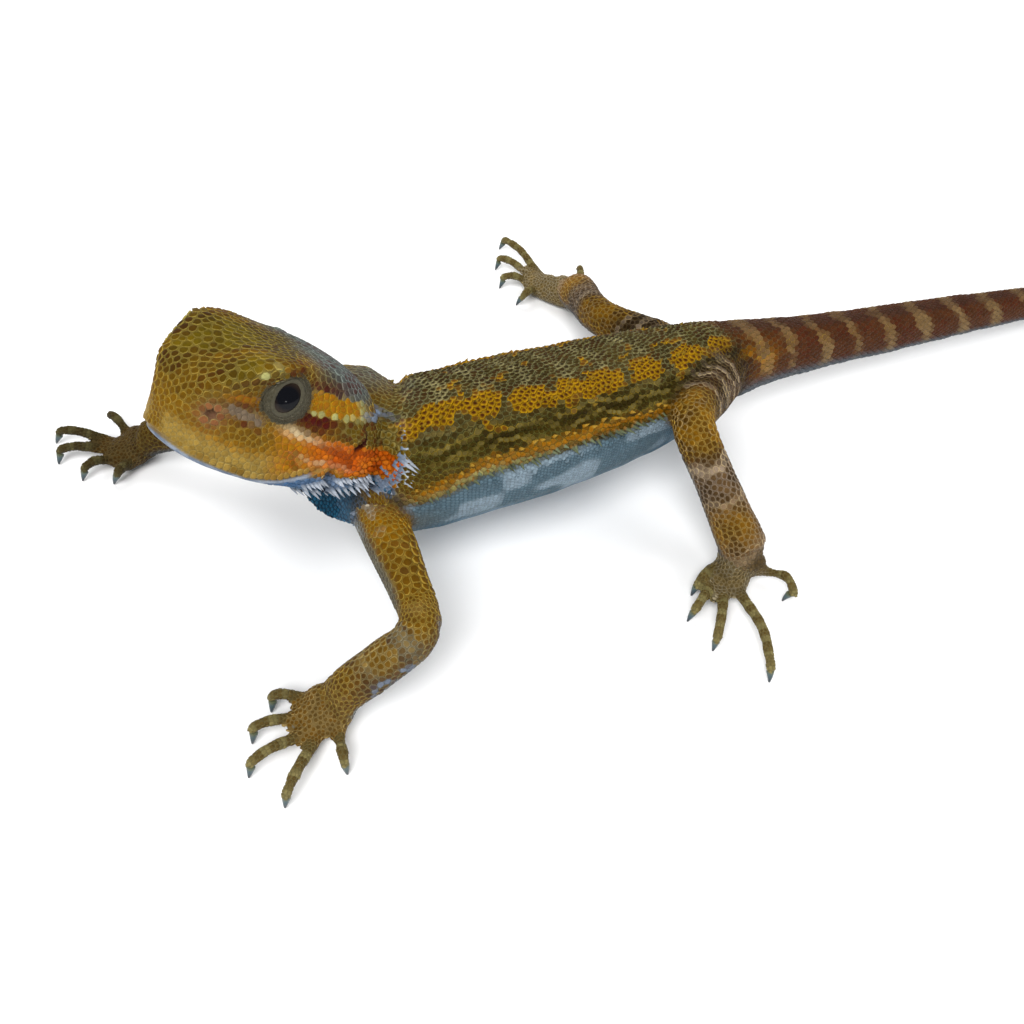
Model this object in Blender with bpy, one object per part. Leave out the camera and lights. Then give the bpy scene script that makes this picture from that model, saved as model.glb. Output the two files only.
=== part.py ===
"""Young bearded dragon, life size, standing with its head raised and turned a little to its left.

Sizes below are in millimetres and are turned to metres by MM. +X is to the animal's left, +Y to
its tail and +Z up, with the floor at z = 0 under the four feet and the tail's end. The pose is
given in axes that start under the shoulders; at the end the whole animal is moved so that the
origin is in the middle of its floor space.
"""

import math

import bmesh
import bpy
from mathutils import Matrix, Vector

MM = 0.001
GAP = 0.3  # clear space between two neighbouring solids

# ---------------------------------------------------------------- pose of the spine and the head
SNOUT_TIP = Vector((-0.1, -24.2, 27.9))
HEAD_YAW, HEAD_PITCH, HEAD_ROLL = 16.0, -28.0, -4.0  # degrees: to the left, nose up, left side up
BODY_ROLL = -13.0  # the trunk leans with its left side up; it fades out along the tail

SPINE = (  # centre line behind the head, from the shoulders to the tip of the tail
    (-1.6, -0.4, 13.4),
    (-0.1, 8.0, 12.9),
    (0.5, 20.0, 11.95),
    (0.5, 33.0, 11.1),
    (0.0, 44.5, 10.7),
    (0.2, 55.0, 10.4),
    (1.3, 79.0, 7.9),
    (2.5, 104.0, 5.15),
    (4.5, 128.0, 2.7),
    (8.0, 149.0, 1.0),
    (13.0, 166.0, 0.38),
)
# girth along the spine: distance from the back of the head, half width, height up, height down,
# and how far the widest line along the flank lies above the middle
GIRTH = (
    (0.0, 9.1, 5.4, 8.6, 0.0),
    (1.8, 8.8, 5.6, 9.4, 0.0),
    (3.6, 8.05, 5.9, 10.2, 0.0),
    (9.0, 9.4, 6.8, 9.1, -0.6),
    (16.0, 10.0, 7.0, 8.35, -0.2),
    (26.0, 10.1, 6.8, 8.1, 0.8),
    (36.0, 9.3, 6.55, 7.7, 1.2),
    (45.0, 7.7, 6.6, 7.1, 0.9),
    (52.0, 5.8, 6.2, 5.7, 0.4),
    (60.0, 4.4, 5.1, 4.4, 0.0),
    (70.0, 3.8, 3.9, 3.8, 0.0),
    (112.0, 2.7, 2.7, 2.7, 0.0),
    (140.0, 1.7, 1.7, 1.7, 0.0),
    (160.0, 0.95, 0.95, 0.95, 0.0),
    (178.0, 0.4, 0.4, 0.4, 0.0),
)
NECK_END = 6.5
BLOCK = 60.0  # size of the blocks that trim the neck's two ends flat
VENT = 57.0
TAIL_LENGTHS = (24.0, 27.0, 30.0)  # the first three lengths of the tail; the fourth takes the rest
RING = 24  # points round the trunk
TAIL_RING = 16
FRINGE_SPAN = (15.0, 35.0)  # the row of spikes along each flank
FRINGE_SPIKES = 11
FRINGE_SIZE = (0.42, 1.25)  # radius at the root, length
SPIKE_SUNK = 0.35  # share of a spike's length that is sunk in the flesh
LEAN_FADE = 30.0  # the lean fades out over this length of the tail
FULLNESS = 0.05  # how much fuller than an ellipse the trunk is
RING_STEPS = (2.2, 3.0, 4.0, 5.4, 6.0, 4.7)  # from ring to ring: neck, trunk and four tail lengths

# ---------------------------------------------------------------- the head, in its own axes
# x to the left, y back from the snout's tip, z up from the mouth's front. One row for each station.
# y, crown z, brow (x, z), cheek (x, z), lip (x, z), jaw (x, z), chin z
HEAD_LINES = (
    (0.7, 1.9, (0.8, 1.6), (1.2, 0.8), (1.3, -0.1), (1.0, -0.6), -0.8),
    (1.4, 4.1, (2.1, 3.8), (2.3, 1.9), (2.5, -0.4), (1.9, -1.3), -1.6),
    (2.6, 5.9, (3.9, 5.7), (3.6, 2.8), (4.0, -1.1), (3.0, -2.2), -2.5),
    (5.0, 7.1, (5.3, 7.3), (4.8, 3.4), (5.5, -1.9), (4.2, -3.1), -3.5),
    (7.6, 8.0, (6.5, 8.6), (5.5, 4.6), (6.8, -2.6), (5.2, -3.6), -4.0),
    (10.4, 8.3, (6.6, 8.8), (6.2, 5.0), (7.7, -2.7), (6.0, -4.1), -4.5),
    (13.6, 8.2, (5.9, 8.1), (7.2, 4.3), (8.4, -2.1), (6.9, -4.7), -5.3),
    (17.0, 7.8, (5.5, 7.3), (8.2, 3.4), (9.2, -1.5), (7.7, -5.3), -6.3),
    (20.2, 7.0, (5.2, 6.3), (8.7, 3.0), (9.9, -1.3), (8.2, -5.4), -6.9),
    (22.4, 5.7, (4.8, 5.1), (7.9, 2.5), (9.2, -1.1), (7.5, -5.4), -7.4),
)
LINE_STEPS = 3  # points between two neighbouring lines round the head
ROUNDNESS = 0.42  # of the head's outline from line to line
JAW_HINGE = 16.6  # the lower jaw ends here, under the ear
EYE_CENTRE = Vector((5.5, 10.2, 5.05))
EYE_RADIUS = 2.3
EAR_CENTRE = Vector((9.1, 18.9, 1.3))
EAR_SIZE = (1.2, 0.9, 1.5)
NOSTRIL_CENTRE = Vector((4.15, 3.4, 2.7))
NOSTRIL_RADIUS = 0.42
BEARD_SPIKES = 8
BEARD_LINE = (Vector((8.2, 20.6, 3.6)), Vector((8.9, 22.0, -0.6)), Vector((8.2, 20.6, -4.8)))
BEARD_WAY = Vector((0.75, 0.85, -0.5))
BEARD_SIZE = (0.45, 1.5)  # radius at the root, greatest length

# ---------------------------------------------------------------- limbs
# root is inside the trunk. Each digit, from the inner one outwards, has its knuckle, its end and
# the tip of its claw on the floor, and how far it bows to its left on the way
LIMBS = {
    "arm_left": {
        "root": (4.0, -3.9, 11.6),
        "bend": (21.5, -6.0, 10.8),
        "end": (20.1, -15.1, 3.5),
        "digits": (
            ((17.4, -18.6), (16.3, -21.1), (17.0, -21.7), 0.0),
            ((19.4, -20.0), (18.9, -24.1), (19.6, -24.7), 0.0),
            ((21.5, -20.4), (22.4, -25.6), (23.0, -26.3), 0.0),
            ((22.9, -19.3), (27.0, -23.7), (27.6, -24.3), 0.0),
            ((23.5, -16.8), (26.4, -17.5), (27.1, -17.5), 0.0),
        ),
    },
    "arm_right": {
        "root": (-5.0, -1.5, 10.0),
        "bend": (-18.9, -12.9, 7.8),
        "end": (-24.6, -21.8, 3.2),
        "digits": (
            ((-22.6, -24.9), (-21.6, -26.5), (-21.6, -27.4), 0.0),
            ((-24.7, -26.7), (-24.0, -29.8), (-23.7, -30.6), 0.0),
            ((-26.9, -27.2), (-28.2, -31.7), (-27.7, -32.5), 0.0),
            ((-28.4, -26.4), (-31.5, -30.9), (-31.5, -31.9), 0.0),
            ((-28.7, -23.6), (-31.9, -24.6), (-33.0, -24.4), 0.0),
        ),
    },
    "leg_left": {
        "root": (1.5, 46.0, 11.2),
        "bend": (11.0, 33.2, 15.6),
        "end": (23.6, 35.3, 4.6),
        "digits": (
            ((22.7, 32.4), (24.0, 28.9), (24.3, 28.1), 0.0),
            ((24.8, 30.6), (27.0, 26.3), (27.2, 25.4), 0.0),
            ((26.3, 31.3), (31.4, 26.1), (31.9, 25.6), 0.0),
            ((27.1, 33.0), (37.3, 29.2), (38.2, 28.9), 0.6),
            ((26.0, 37.7), (30.2, 38.6), (29.9, 37.8), 0.9),
        ),
    },
    "leg_right": {
        "root": (-1.5, 46.0, 9.0),
        "bend": (-16.8, 39.6, 9.0),
        "end": (-29.1, 44.7, 3.6),
        "digits": (
            ((-34.2, 40.4), (-33.2, 37.8), (-33.6, 36.9), 0.0),
            ((-36.8, 40.6), (-38.6, 37.4), (-38.4, 36.6), 0.0),
            ((-38.5, 41.7), (-43.2, 39.2), (-43.0, 38.4), 0.0),
            ((-38.9, 43.4), (-47.4, 42.4), (-47.8, 41.8), -0.3),
            ((-32.8, 47.9), (-35.9, 49.8), (-36.9, 50.5), 0.0),
        ),
    },
}
# thickness along a limb: (share of its length, half width)
ARM_GIRTH = ((0.0, 3.3), (0.25, 2.75), (0.42, 2.35), (0.58, 2.3), (0.78, 2.5), (1.0, 2.4))
LEG_GIRTH = ((0.0, 4.2), (0.25, 3.65), (0.42, 2.9), (0.58, 2.6), (0.8, 2.65), (1.0, 3.1))
BEND_ROUNDING = 3.2
LIMB_SIDES = 12
DIGIT_SIDES = 6
DIGIT_RADIUS = (0.92, 0.74)  # at the knuckle and at the claw
PALM_SHAPE = (  # share of the way to the knuckles, half width, height of the back of the hand
    (0.12, 2.2, 4.2),
    (0.4, 2.55, 3.5),
    (0.75, 2.7, 2.9),
    (1.0, 2.3, 2.5),
)
PALM_SIDES = 12
PALM_MIDDLE = 0.42  # height of the hand's widest line, as a share of its back's height
PALM_HEART = 0.35  # the digits spread from this share of the way to the knuckles
KNUCKLE_HEIGHT = 1.35
ARCH_HEIGHT = 2.3
ARCH_SHARE = 0.55  # the arch's place between the knuckle and the digit's end
DIGIT_END_HEIGHT = 2.0
CLAW_SHARE = 0.25  # the digit's end turns down this far towards the claw's tip before the claw starts
CLAW_TIP_HEIGHT = 0.12
CLAW_RADIUS = 0.48
CLAW_TAPER = 0.82
CLAW_HOOK = 0.35  # how far the claw bulges forwards on its way down

COLOURS = {
    "hide": ((0.30, 0.20, 0.07, 1.0), 0.62),
    "eye": ((0.012, 0.01, 0.01, 1.0), 0.08),
    "claw": ((0.05, 0.06, 0.06, 1.0), 0.35),
}


def clear_scene():
    for old in list(bpy.data.objects):
        bpy.data.objects.remove(old, do_unlink=True)


def material(name):
    made = bpy.data.materials.get(name)
    if made is None:
        colour, roughness = COLOURS[name]
        made = bpy.data.materials.new(name)
        made.use_nodes = True
        shader = made.node_tree.nodes["Principled BSDF"]
        shader.inputs["Base Color"].default_value = colour
        shader.inputs["Roughness"].default_value = roughness
        shader.inputs["Metallic"].default_value = 0.0
    return made


def add_object(name, bm, finish, helper=False):
    """Turns a bmesh in millimetres into one named object in metres."""
    bmesh.ops.recalc_face_normals(bm, faces=bm.faces)
    bmesh.ops.scale(bm, vec=(MM, MM, MM), verts=bm.verts)
    mesh = bpy.data.meshes.new(name)
    bm.to_mesh(mesh)
    bm.free()
    mesh.shade_smooth()
    made = bpy.data.objects.new(name, mesh)
    made.data.materials.append(material(finish))
    bpy.context.scene.collection.objects.link(made)
    if helper:
        made.hide_render = True
        made.display_type = "WIRE"
    return made


def loft(rings):
    """A closed skin over rings with the same number of points, flat at both ends."""
    bm = bmesh.new()
    loops = [[bm.verts.new(p) for p in ring] for ring in rings]
    count = len(rings[0])
    for near, far in zip(loops, loops[1:]):
        for k in range(count):
            n = (k + 1) % count
            bm.faces.new((near[k], near[n], far[n], far[k]))
    bm.faces.new(loops[0][::-1])
    bm.faces.new(loops[-1])
    return bm


def between(table, at):
    """Smooth values at a place along a table whose rows start with that place."""
    if at <= table[0][0]:
        return table[0][1:]
    if at >= table[-1][0]:
        return table[-1][1:]
    last = len(table) - 1
    i = next(k for k in range(last) if table[k + 1][0] >= at)
    rows = [table[max(i - 1, 0)], table[i], table[i + 1], table[min(i + 2, last)]]
    width = rows[2][0] - rows[1][0]
    t = (at - rows[1][0]) / width
    found = []
    for c in range(1, len(rows[0])):
        slope_a = (rows[2][c] - rows[0][c]) / max(rows[2][0] - rows[0][0], 1e-6)
        slope_b = (rows[3][c] - rows[1][c]) / max(rows[3][0] - rows[1][0], 1e-6)
        found.append(hermite(rows[1][c], slope_a * width, rows[2][c], slope_b * width, t))
    return found


def hermite(a, slope_a, b, slope_b, t):
    t2, t3 = t * t, t * t * t
    return (
        a * (2 * t3 - 3 * t2 + 1)
        + slope_a * (t3 - 2 * t2 + t)
        + b * (3 * t2 - 2 * t3)
        + slope_b * (t3 - t2)
    )


def smooth_line(points, start_slope=None, step=1.0):
    """A dense curve through the points, as (place along it, point) rows."""
    chords = [(b - a).length for a, b in zip(points, points[1:])]
    slopes = []
    for i in range(len(points)):
        a, b = max(i - 1, 0), min(i + 1, len(points) - 1)
        slopes.append((points[b] - points[a]) / sum(chords[a:b]))
    if start_slope is not None:
        slopes[0] = start_slope
    line = [points[0]]
    for i, chord in enumerate(chords):
        pieces = max(2, round(chord / step))
        for k in range(1, pieces + 1):
            line.append(
                hermite(points[i], slopes[i] * chord, points[i + 1], slopes[i + 1] * chord, k / pieces)
            )
    places = [0.0]
    for a, b in zip(line, line[1:]):
        places.append(places[-1] + (b - a).length)
    return places, line


def heading(line, i):
    """Direction of a dense curve at one of its points."""
    if i == 0:
        return ((line[1] - line[0]).normalized() * 2 - heading(line, 1)).normalized()
    return (line[min(i + 1, len(line) - 1)] - line[i - 1]).normalized()


def point_on(places, line, at):
    """Point and direction at a place along a dense curve."""
    i = next((k for k in range(1, len(places) - 1) if places[k] >= at), len(places) - 1)
    share = (at - places[i - 1]) / (places[i] - places[i - 1])
    return line[i - 1].lerp(line[i], share), heading(line, i - 1).lerp(heading(line, i), share).normalized()


# ---------------------------------------------------------------- the head
def head_matrix():
    turn = (
        Matrix.Rotation(math.radians(HEAD_YAW), 4, "Z")
        @ Matrix.Rotation(math.radians(HEAD_PITCH), 4, "X")
        @ Matrix.Rotation(math.radians(HEAD_ROLL), 4, "Y")
    )
    return Matrix.Translation(SNOUT_TIP) @ turn


def head_ring(row):
    """Ring of points round the head at one station, starting at the crown and going down the left side."""
    y, crown, brow, cheek, lip, jaw, chin = row
    left = [(0.0, crown), brow, cheek, lip, jaw, (0.0, chin)]
    right = [(-x, z) for x, z in left[-2:0:-1]]
    knots = [Vector((x, y, z)) for x, z in left + right]
    ring = []
    for i, here in enumerate(knots):
        before, after, beyond = knots[i - 1], knots[(i + 1) % len(knots)], knots[(i + 2) % len(knots)]
        slope_here = (after - before) * ROUNDNESS
        slope_next = (beyond - here) * ROUNDNESS
        for k in range(LINE_STEPS):
            ring.append(hermite(here, slope_here, after, slope_next, k / LINE_STEPS))
    return ring


def head_rows(step=1.6):
    """Stations along the head, with rows read smoothly between the named ones."""
    flat = [(r[0], r[1], *r[2], *r[3], *r[4], *r[5], r[6]) for r in HEAD_LINES]
    places = [r[0] for r in flat[:3]]
    last = flat[-1][0]
    count = round((last - places[-1]) / step)
    places += [places[-1] + (last - places[-1]) * k / count for k in range(1, count + 1)]
    for at in places:
        v = between(flat, at)
        yield (at, v[0], (v[1], v[2]), (v[3], v[4]), (v[5], v[6]), (v[7], v[8]), v[9])


def add_head():
    """The skull with the upper jaw, and the lower jaw, parted along the lips."""
    lip_left = 3 * LINE_STEPS
    lip_right = 7 * LINE_STEPS
    upper, lower = [], []
    for row in head_rows():
        ring = head_ring(row)
        a, b = ring[lip_left], ring[lip_right]
        if row[0] <= JAW_HINGE:
            across = [a.lerp(b, k / (lip_right - lip_left)) for k in range(1, lip_right - lip_left)]
            upper.append(ring[: lip_left + 1] + across + ring[lip_right:])
            drop = Vector((0, 0, -GAP))
            lower.append([p + drop * (1.0 if k in (0, lip_right - lip_left) else 0.5)
                          for k, p in enumerate(ring[lip_left : lip_right + 1])])
        else:
            if upper[-1][0].y < JAW_HINGE + GAP:
                wall = [Vector((p.x, JAW_HINGE + GAP, p.z)) for p in upper[-1]]
                full = [Vector((p.x, JAW_HINGE + GAP, p.z)) for p in ring]
                upper += [wall, full]
            upper.append(ring)
    place = head_matrix()
    head = add_object("head", loft([[place @ p for p in ring] for ring in upper]), "hide")
    add_object("jaw", loft([[place @ p for p in ring] for ring in lower]), "hide")
    for side in (1, -1):
        for centre, size in (
            (EYE_CENTRE, (EYE_RADIUS + GAP,) * 3),
            (EAR_CENTRE, EAR_SIZE),
            (NOSTRIL_CENTRE, (NOSTRIL_RADIUS,) * 3),
        ):
            spot = Vector((centre.x * side, centre.y, centre.z))
            cut(head, add_ball("hollow", place, spot, size, 12, helper=True), "DIFFERENCE")
    add_beard(head, place)
    for side, name in ((1, "eye_left"), (-1, "eye_right")):
        spot = Vector((EYE_CENTRE.x * side, EYE_CENTRE.y, EYE_CENTRE.z))
        add_ball(name, place, spot, (EYE_RADIUS,) * 3, 10, finish="eye")


def add_beard(head, place):
    """Short spikes round the back of each jowl, from the ear down, the longest half way."""
    bm = bmesh.new()
    turn = place.to_3x3()
    top, corner, foot = BEARD_LINE
    for side in (1, -1):
        for k in range(BEARD_SPIKES):
            t = k / (BEARD_SPIKES - 1)
            upper, lower = (top, corner) if t < 0.5 else (corner, foot)
            spot = upper.lerp(lower, 2 * t % 1.0 if t < 1 else 1.0)
            way = Vector((side * BEARD_WAY.x, BEARD_WAY.y, BEARD_WAY.z * t)).normalized()
            length = BEARD_SIZE[1] * (1 - abs(t - 0.5))
            spike(bm, place @ Vector((side * spot.x, spot.y, spot.z)), turn @ way, BEARD_SIZE[0], length)
    cut(head, add_object("spikes", bm, "hide", helper=True), "UNION")


def add_ball(name, place, centre, size, rings, finish="hide", helper=False):
    bm = bmesh.new()
    bmesh.ops.create_uvsphere(bm, u_segments=rings, v_segments=rings // 2 + 2, radius=1.0)
    bmesh.ops.scale(bm, vec=size, verts=bm.verts)
    bmesh.ops.translate(bm, vec=centre, verts=bm.verts)
    bmesh.ops.transform(bm, matrix=place, verts=bm.verts)
    return add_object(name, bm, finish, helper)


def cut(target, tool, operation):
    """Applies one Boolean at once, so that the result can be cut again, and removes the tool."""
    step = target.modifiers.new("shape", "BOOLEAN")
    step.object = tool
    step.operation = operation
    step.solver = "EXACT"
    bpy.context.view_layer.update()
    shaped = bpy.data.meshes.new_from_object(target.evaluated_get(bpy.context.evaluated_depsgraph_get()))
    target.modifiers.clear()
    target.data = shaped
    bpy.data.objects.remove(tool, do_unlink=True)


# ---------------------------------------------------------------- neck, trunk and tail
def spine_line():
    back = head_matrix() @ Vector((0.0, HEAD_LINES[-1][0] - GAP, 0.0))
    axis = (head_matrix().to_3x3() @ Vector((0, 1, 0))).normalized()
    return smooth_line([back] + [Vector(p) for p in SPINE], start_slope=axis)


def spine_ring(places, line, at, count=RING, grow=0.0):
    """Ring round the spine at a distance from the head; grow makes it that much wider all round."""
    centre, ahead = point_on(places, line, at)
    half_width, up, down, flank = between(GIRTH, at)
    half_width, up, down = half_width + grow, up + grow, down + grow
    lean = BODY_ROLL * min(1.0, max(0.0, 1 - (at - VENT) / LEAN_FADE))
    side = Vector((0, 0, 1)).cross(-ahead).normalized()
    top = (-ahead).cross(side).normalized()
    roll = Matrix.Rotation(math.radians(lean), 3, ahead)
    side, top = roll @ side, roll @ top
    ring = []
    for k in range(count):
        a = 2 * math.pi * k / count
        across, rise = math.sin(a), math.cos(a)
        height = up if rise > 0 else down
        full = 1 + FULLNESS * math.sin(2 * a) ** 2
        lift = height * rise * full + flank * across * across
        ring.append(centre + side * half_width * across * full + top * lift)
    return [Vector((p.x, p.y, max(p.z, 0.0))) for p in ring]


def stations(start, end, step):
    count = max(1, round((end - start) / step))
    return [start + (end - start) * k / count for k in range(count + 1)]


def add_body():
    places, line = spine_line()
    total = places[-1]
    ends = [0.0, NECK_END, VENT]
    for length in TAIL_LENGTHS:
        ends.append(ends[-1] + length)
    ends.append(total - 0.05)
    names = ["neck", "trunk", "tail_1", "tail_2", "tail_3", "tail_4"]
    for name, start, end, step in zip(names, ends, ends[1:], RING_STEPS):
        count = TAIL_RING if name.startswith("tail") else RING
        rings = [spine_ring(places, line, at, count) for at in stations(start, end, step)]
        for k, at, way in ((0, start, 1), (-1, end, -1)):  # half the gap off each end
            aside = point_on(places, line, at)[1] * way * GAP / 2
            rings[k] = [p + aside for p in rings[k]]
        part = add_object(name, loft(rings), "hide")
        if name in ("neck", "trunk"):
            cut(part, block(head_matrix(), -BLOCK, HEAD_LINES[-1][0] + GAP), "DIFFERENCE")
            point, ahead = point_on(places, line, NECK_END)
            turn = ahead.to_track_quat("Y", "Z").to_matrix().to_4x4()
            span = (-GAP / 2, BLOCK) if name == "neck" else (-BLOCK, GAP / 2)
            cut(part, block(Matrix.Translation(point) @ turn, *span), "DIFFERENCE")
        if name == "trunk":
            add_fringe(part, places, line)


def spike(bm, root, out, radius, length, sides=5):
    """A cone whose base is sunk a little into what it grows from."""
    turn = out.to_track_quat("Z", "X").to_matrix().to_4x4()
    depth = length * (1 + SPIKE_SUNK)
    middle = root + out * (length - depth / 2)
    bmesh.ops.create_cone(
        bm, cap_ends=True, segments=sides, radius1=radius, radius2=0.0, depth=depth,
        matrix=Matrix.Translation(middle) @ turn,
    )


def add_fringe(trunk, places, line):
    """The row of short spikes along each flank, leaning back and up."""
    bm = bmesh.new()
    for at in stations(*FRINGE_SPAN, (FRINGE_SPAN[1] - FRINGE_SPAN[0]) / (FRINGE_SPIKES - 1)):
        ring = spine_ring(places, line, at)
        centre, ahead = point_on(places, line, at)
        for root in (ring[RING // 4], ring[3 * RING // 4]):
            out = ((root - centre).normalized() + ahead * 0.7).normalized()
            spike(bm, root, out, *FRINGE_SIZE)
    cut(trunk, add_object("spikes", bm, "hide", helper=True), "UNION")


def block(place, near, far):
    """A wide block between two planes across the Y axis of its own frame, to trim a neighbour flat."""
    bm = bmesh.new()
    bmesh.ops.create_cube(bm, size=1.0)
    bmesh.ops.scale(bm, vec=(BLOCK, far - near, BLOCK), verts=bm.verts)
    bmesh.ops.translate(bm, vec=(0.0, (near + far) / 2, 0.0), verts=bm.verts)
    bmesh.ops.transform(bm, matrix=place, verts=bm.verts)
    return add_object("block", bm, "hide", helper=True)


def torso_tool():
    """The neck, trunk and first length of the tail, a gap larger all round, to part the limbs from them."""
    places, line = spine_line()
    rings = [spine_ring(places, line, at, grow=GAP) for at in stations(0.0, VENT + TAIL_LENGTHS[0], 2.2)]
    return add_object("torso_tool", loft(rings), "hide", helper=True)


# ---------------------------------------------------------------- limbs
def rounded(a, b, c, rounding):
    """A path from a over b to c with the corner at b rounded."""
    near, far = b + (a - b).normalized() * rounding, b + (c - b).normalized() * rounding
    path = [a.lerp(near, k / 5) for k in range(5)]
    for k in range(7):
        t = k / 6
        path.append(near * (1 - t) ** 2 + b * 2 * t * (1 - t) + far * t * t)
    path += [far.lerp(c, k / 5) for k in range(1, 6)]
    return path


def tube(path, radii, sides):
    """Rings along a path, carried along it without twist and kept above the floor."""
    rings, side = [], None
    last = len(path) - 1
    for i, here in enumerate(path):
        ahead = (path[min(i + 1, last)] - path[max(i - 1, 0)]).normalized()
        if side is None:
            side = ahead.cross(Vector((0, 0, 1))).normalized()
        side = (side - ahead * side.dot(ahead)).normalized()
        top = side.cross(ahead).normalized()
        ring = []
        for k in range(sides):
            a = 2 * math.pi * k / sides
            p = here + side * radii[i] * math.cos(a) + top * radii[i] * math.sin(a)
            ring.append(Vector((p.x, p.y, max(p.z, 0.0))))
        rings.append(ring)
    return rings


def shares(path):
    """How far along the path each of its points is, from 0 to 1."""
    run = [0.0]
    for a, b in zip(path, path[1:]):
        run.append(run[-1] + (b - a).length)
    return [r / run[-1] for r in run]


def add_limb(name, limb, tool):
    """Upper and lower limb on one rounded path, parted at the middle of the bend."""
    kind = name.split("_")[0]
    girth = ARM_GIRTH if kind == "arm" else LEG_GIRTH
    root, bend, end = (Vector(limb[k]) for k in ("root", "bend", "end"))
    path = rounded(root, bend, end, BEND_ROUNDING)
    radii = [between(girth, s)[0] for s in shares(path)]
    rings = tube(path, radii, LIMB_SIDES)
    middle = len(path) // 2
    along = (path[middle + 1] - path[middle - 1]).normalized() * GAP / 2
    upper = rings[:middle] + [[p - along for p in rings[middle]]]
    lower = [[p + along for p in rings[middle]]] + rings[middle + 1 :]
    words = {"arm": ("upper_arm", "forearm"), "leg": ("thigh", "shank")}[kind]
    side = name.split("_")[1]
    thick = add_object(f"{words[0]}_{side}", loft(upper), "hide")
    copy = add_object("tool", bmesh_of(tool), "hide", helper=True)
    cut(thick, copy, "DIFFERENCE")
    add_object(f"{words[1]}_{side}", loft(lower), "hide")
    add_foot(kind, side, limb, path, radii[-1])


def bmesh_of(obj):
    bm = bmesh.new()
    bm.from_mesh(obj.data)
    bmesh.ops.scale(bm, vec=(1 / MM,) * 3, verts=bm.verts)
    return bm


def add_foot(kind, side, limb, path, ankle_radius):
    """Palm or sole with its five digits as one solid, and a claw on each digit."""
    end, ahead = path[-1], (path[-1] - path[-2]).normalized()
    heel = end + ahead * GAP
    name = {"arm": "hand", "leg": "foot"}[kind] + "_" + side
    knuckles = [Vector((*row[0], KNUCKLE_HEIGHT)) for row in limb["digits"]]
    middle = sum(knuckles[:4], Vector()) / 4
    foot = add_object(name, palm(heel, ahead, ankle_radius, middle), "hide")
    for number, (knuckle, row) in enumerate(zip(knuckles, limb["digits"]), 1):
        line, tip = digit_line(heel.lerp(middle, PALM_HEART), knuckle, row)
        thick, thin = DIGIT_RADIUS
        radii = [thick + (thin - thick) * s for s in shares(line)]
        digit = add_object("digit", loft(tube(line, radii, DIGIT_SIDES)), "hide", helper=True)
        cut(foot, digit, "UNION")
        add_claw(f"claw_{name}_{number}", line, tip)


def digit_line(start, knuckle, row):
    """Centre line of one digit, over its knuckle and its arch and down to the root of its claw."""
    start.z = KNUCKLE_HEIGHT
    end = Vector((*row[1], DIGIT_END_HEIGHT))
    tip = Vector((*row[2], CLAW_TIP_HEIGHT))
    out = end - knuckle
    left = Vector((0, 0, 1)).cross(out).normalized()
    arch = knuckle.lerp(end, ARCH_SHARE) + left * row[3]
    arch.z = ARCH_HEIGHT
    _, line = smooth_line([start, knuckle, arch, end, end.lerp(tip, CLAW_SHARE)], step=1.7)
    return line, tip


def palm(heel, ahead, ankle_radius, middle):
    """Rounded wedge from the ankle to the knuckles, flat underneath."""
    rings = tube([heel, heel + ahead], [ankle_radius] * 2, PALM_SIDES)[:1]
    flat_heel = Vector((heel.x, heel.y, 0))
    out = middle - flat_heel
    out.z = 0
    side = out.normalized().cross(Vector((0, 0, 1)))
    for share, half_width, back in PALM_SHAPE:
        centre = flat_heel + out * share
        ring = []
        for k in range(PALM_SIDES):
            a = 2 * math.pi * k / PALM_SIDES
            z = back * (PALM_MIDDLE + (1 - PALM_MIDDLE) * math.sin(a))
            p = centre + side * math.cos(a) * half_width
            ring.append(Vector((p.x, p.y, max(z, 0.0))))
        rings.append(ring)
    return loft(rings)


def add_claw(name, digit, tip):
    """A curved cone that leaves the digit's end and hooks down to the floor."""
    ahead = (digit[-1] - digit[-2]).normalized()
    root = digit[-1] + ahead * GAP
    bulge = root.lerp(tip, 0.45) + Vector((ahead.x, ahead.y, 0)) * CLAW_HOOK
    path = [root * (1 - t) ** 2 + bulge * 2 * t * (1 - t) + tip * t * t for t in (0, 0.35, 0.7, 1)]
    radii = [CLAW_RADIUS * (1 - CLAW_TAPER * s) for s in shares(path)]
    add_object(name, loft(tube(path, radii, 6)), "claw")


def main():
    clear_scene()
    add_head()
    add_body()
    tool = torso_tool()
    for name, limb in LIMBS.items():
        add_limb(name, limb, tool)
    bpy.data.objects.remove(tool, do_unlink=True)
    centre_on_floor()


def centre_on_floor():
    """Moves the whole animal so that the row's origin is in the middle of its floor space."""
    points = [v.co for made in bpy.data.objects for v in made.data.vertices]
    middle = [(min(p[k] for p in points) + max(p[k] for p in points)) / 2 for k in (0, 1)]
    shift = Matrix.Translation((-middle[0], -middle[1], 0.0))
    for made in bpy.data.objects:
        made.data.transform(shift)


main()
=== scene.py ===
import itertools
import math

import bpy
import numpy as np
from mathutils import Matrix, Vector
from mathutils.bvhtree import BVHTree
from mathutils.kdtree import KDTree


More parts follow.
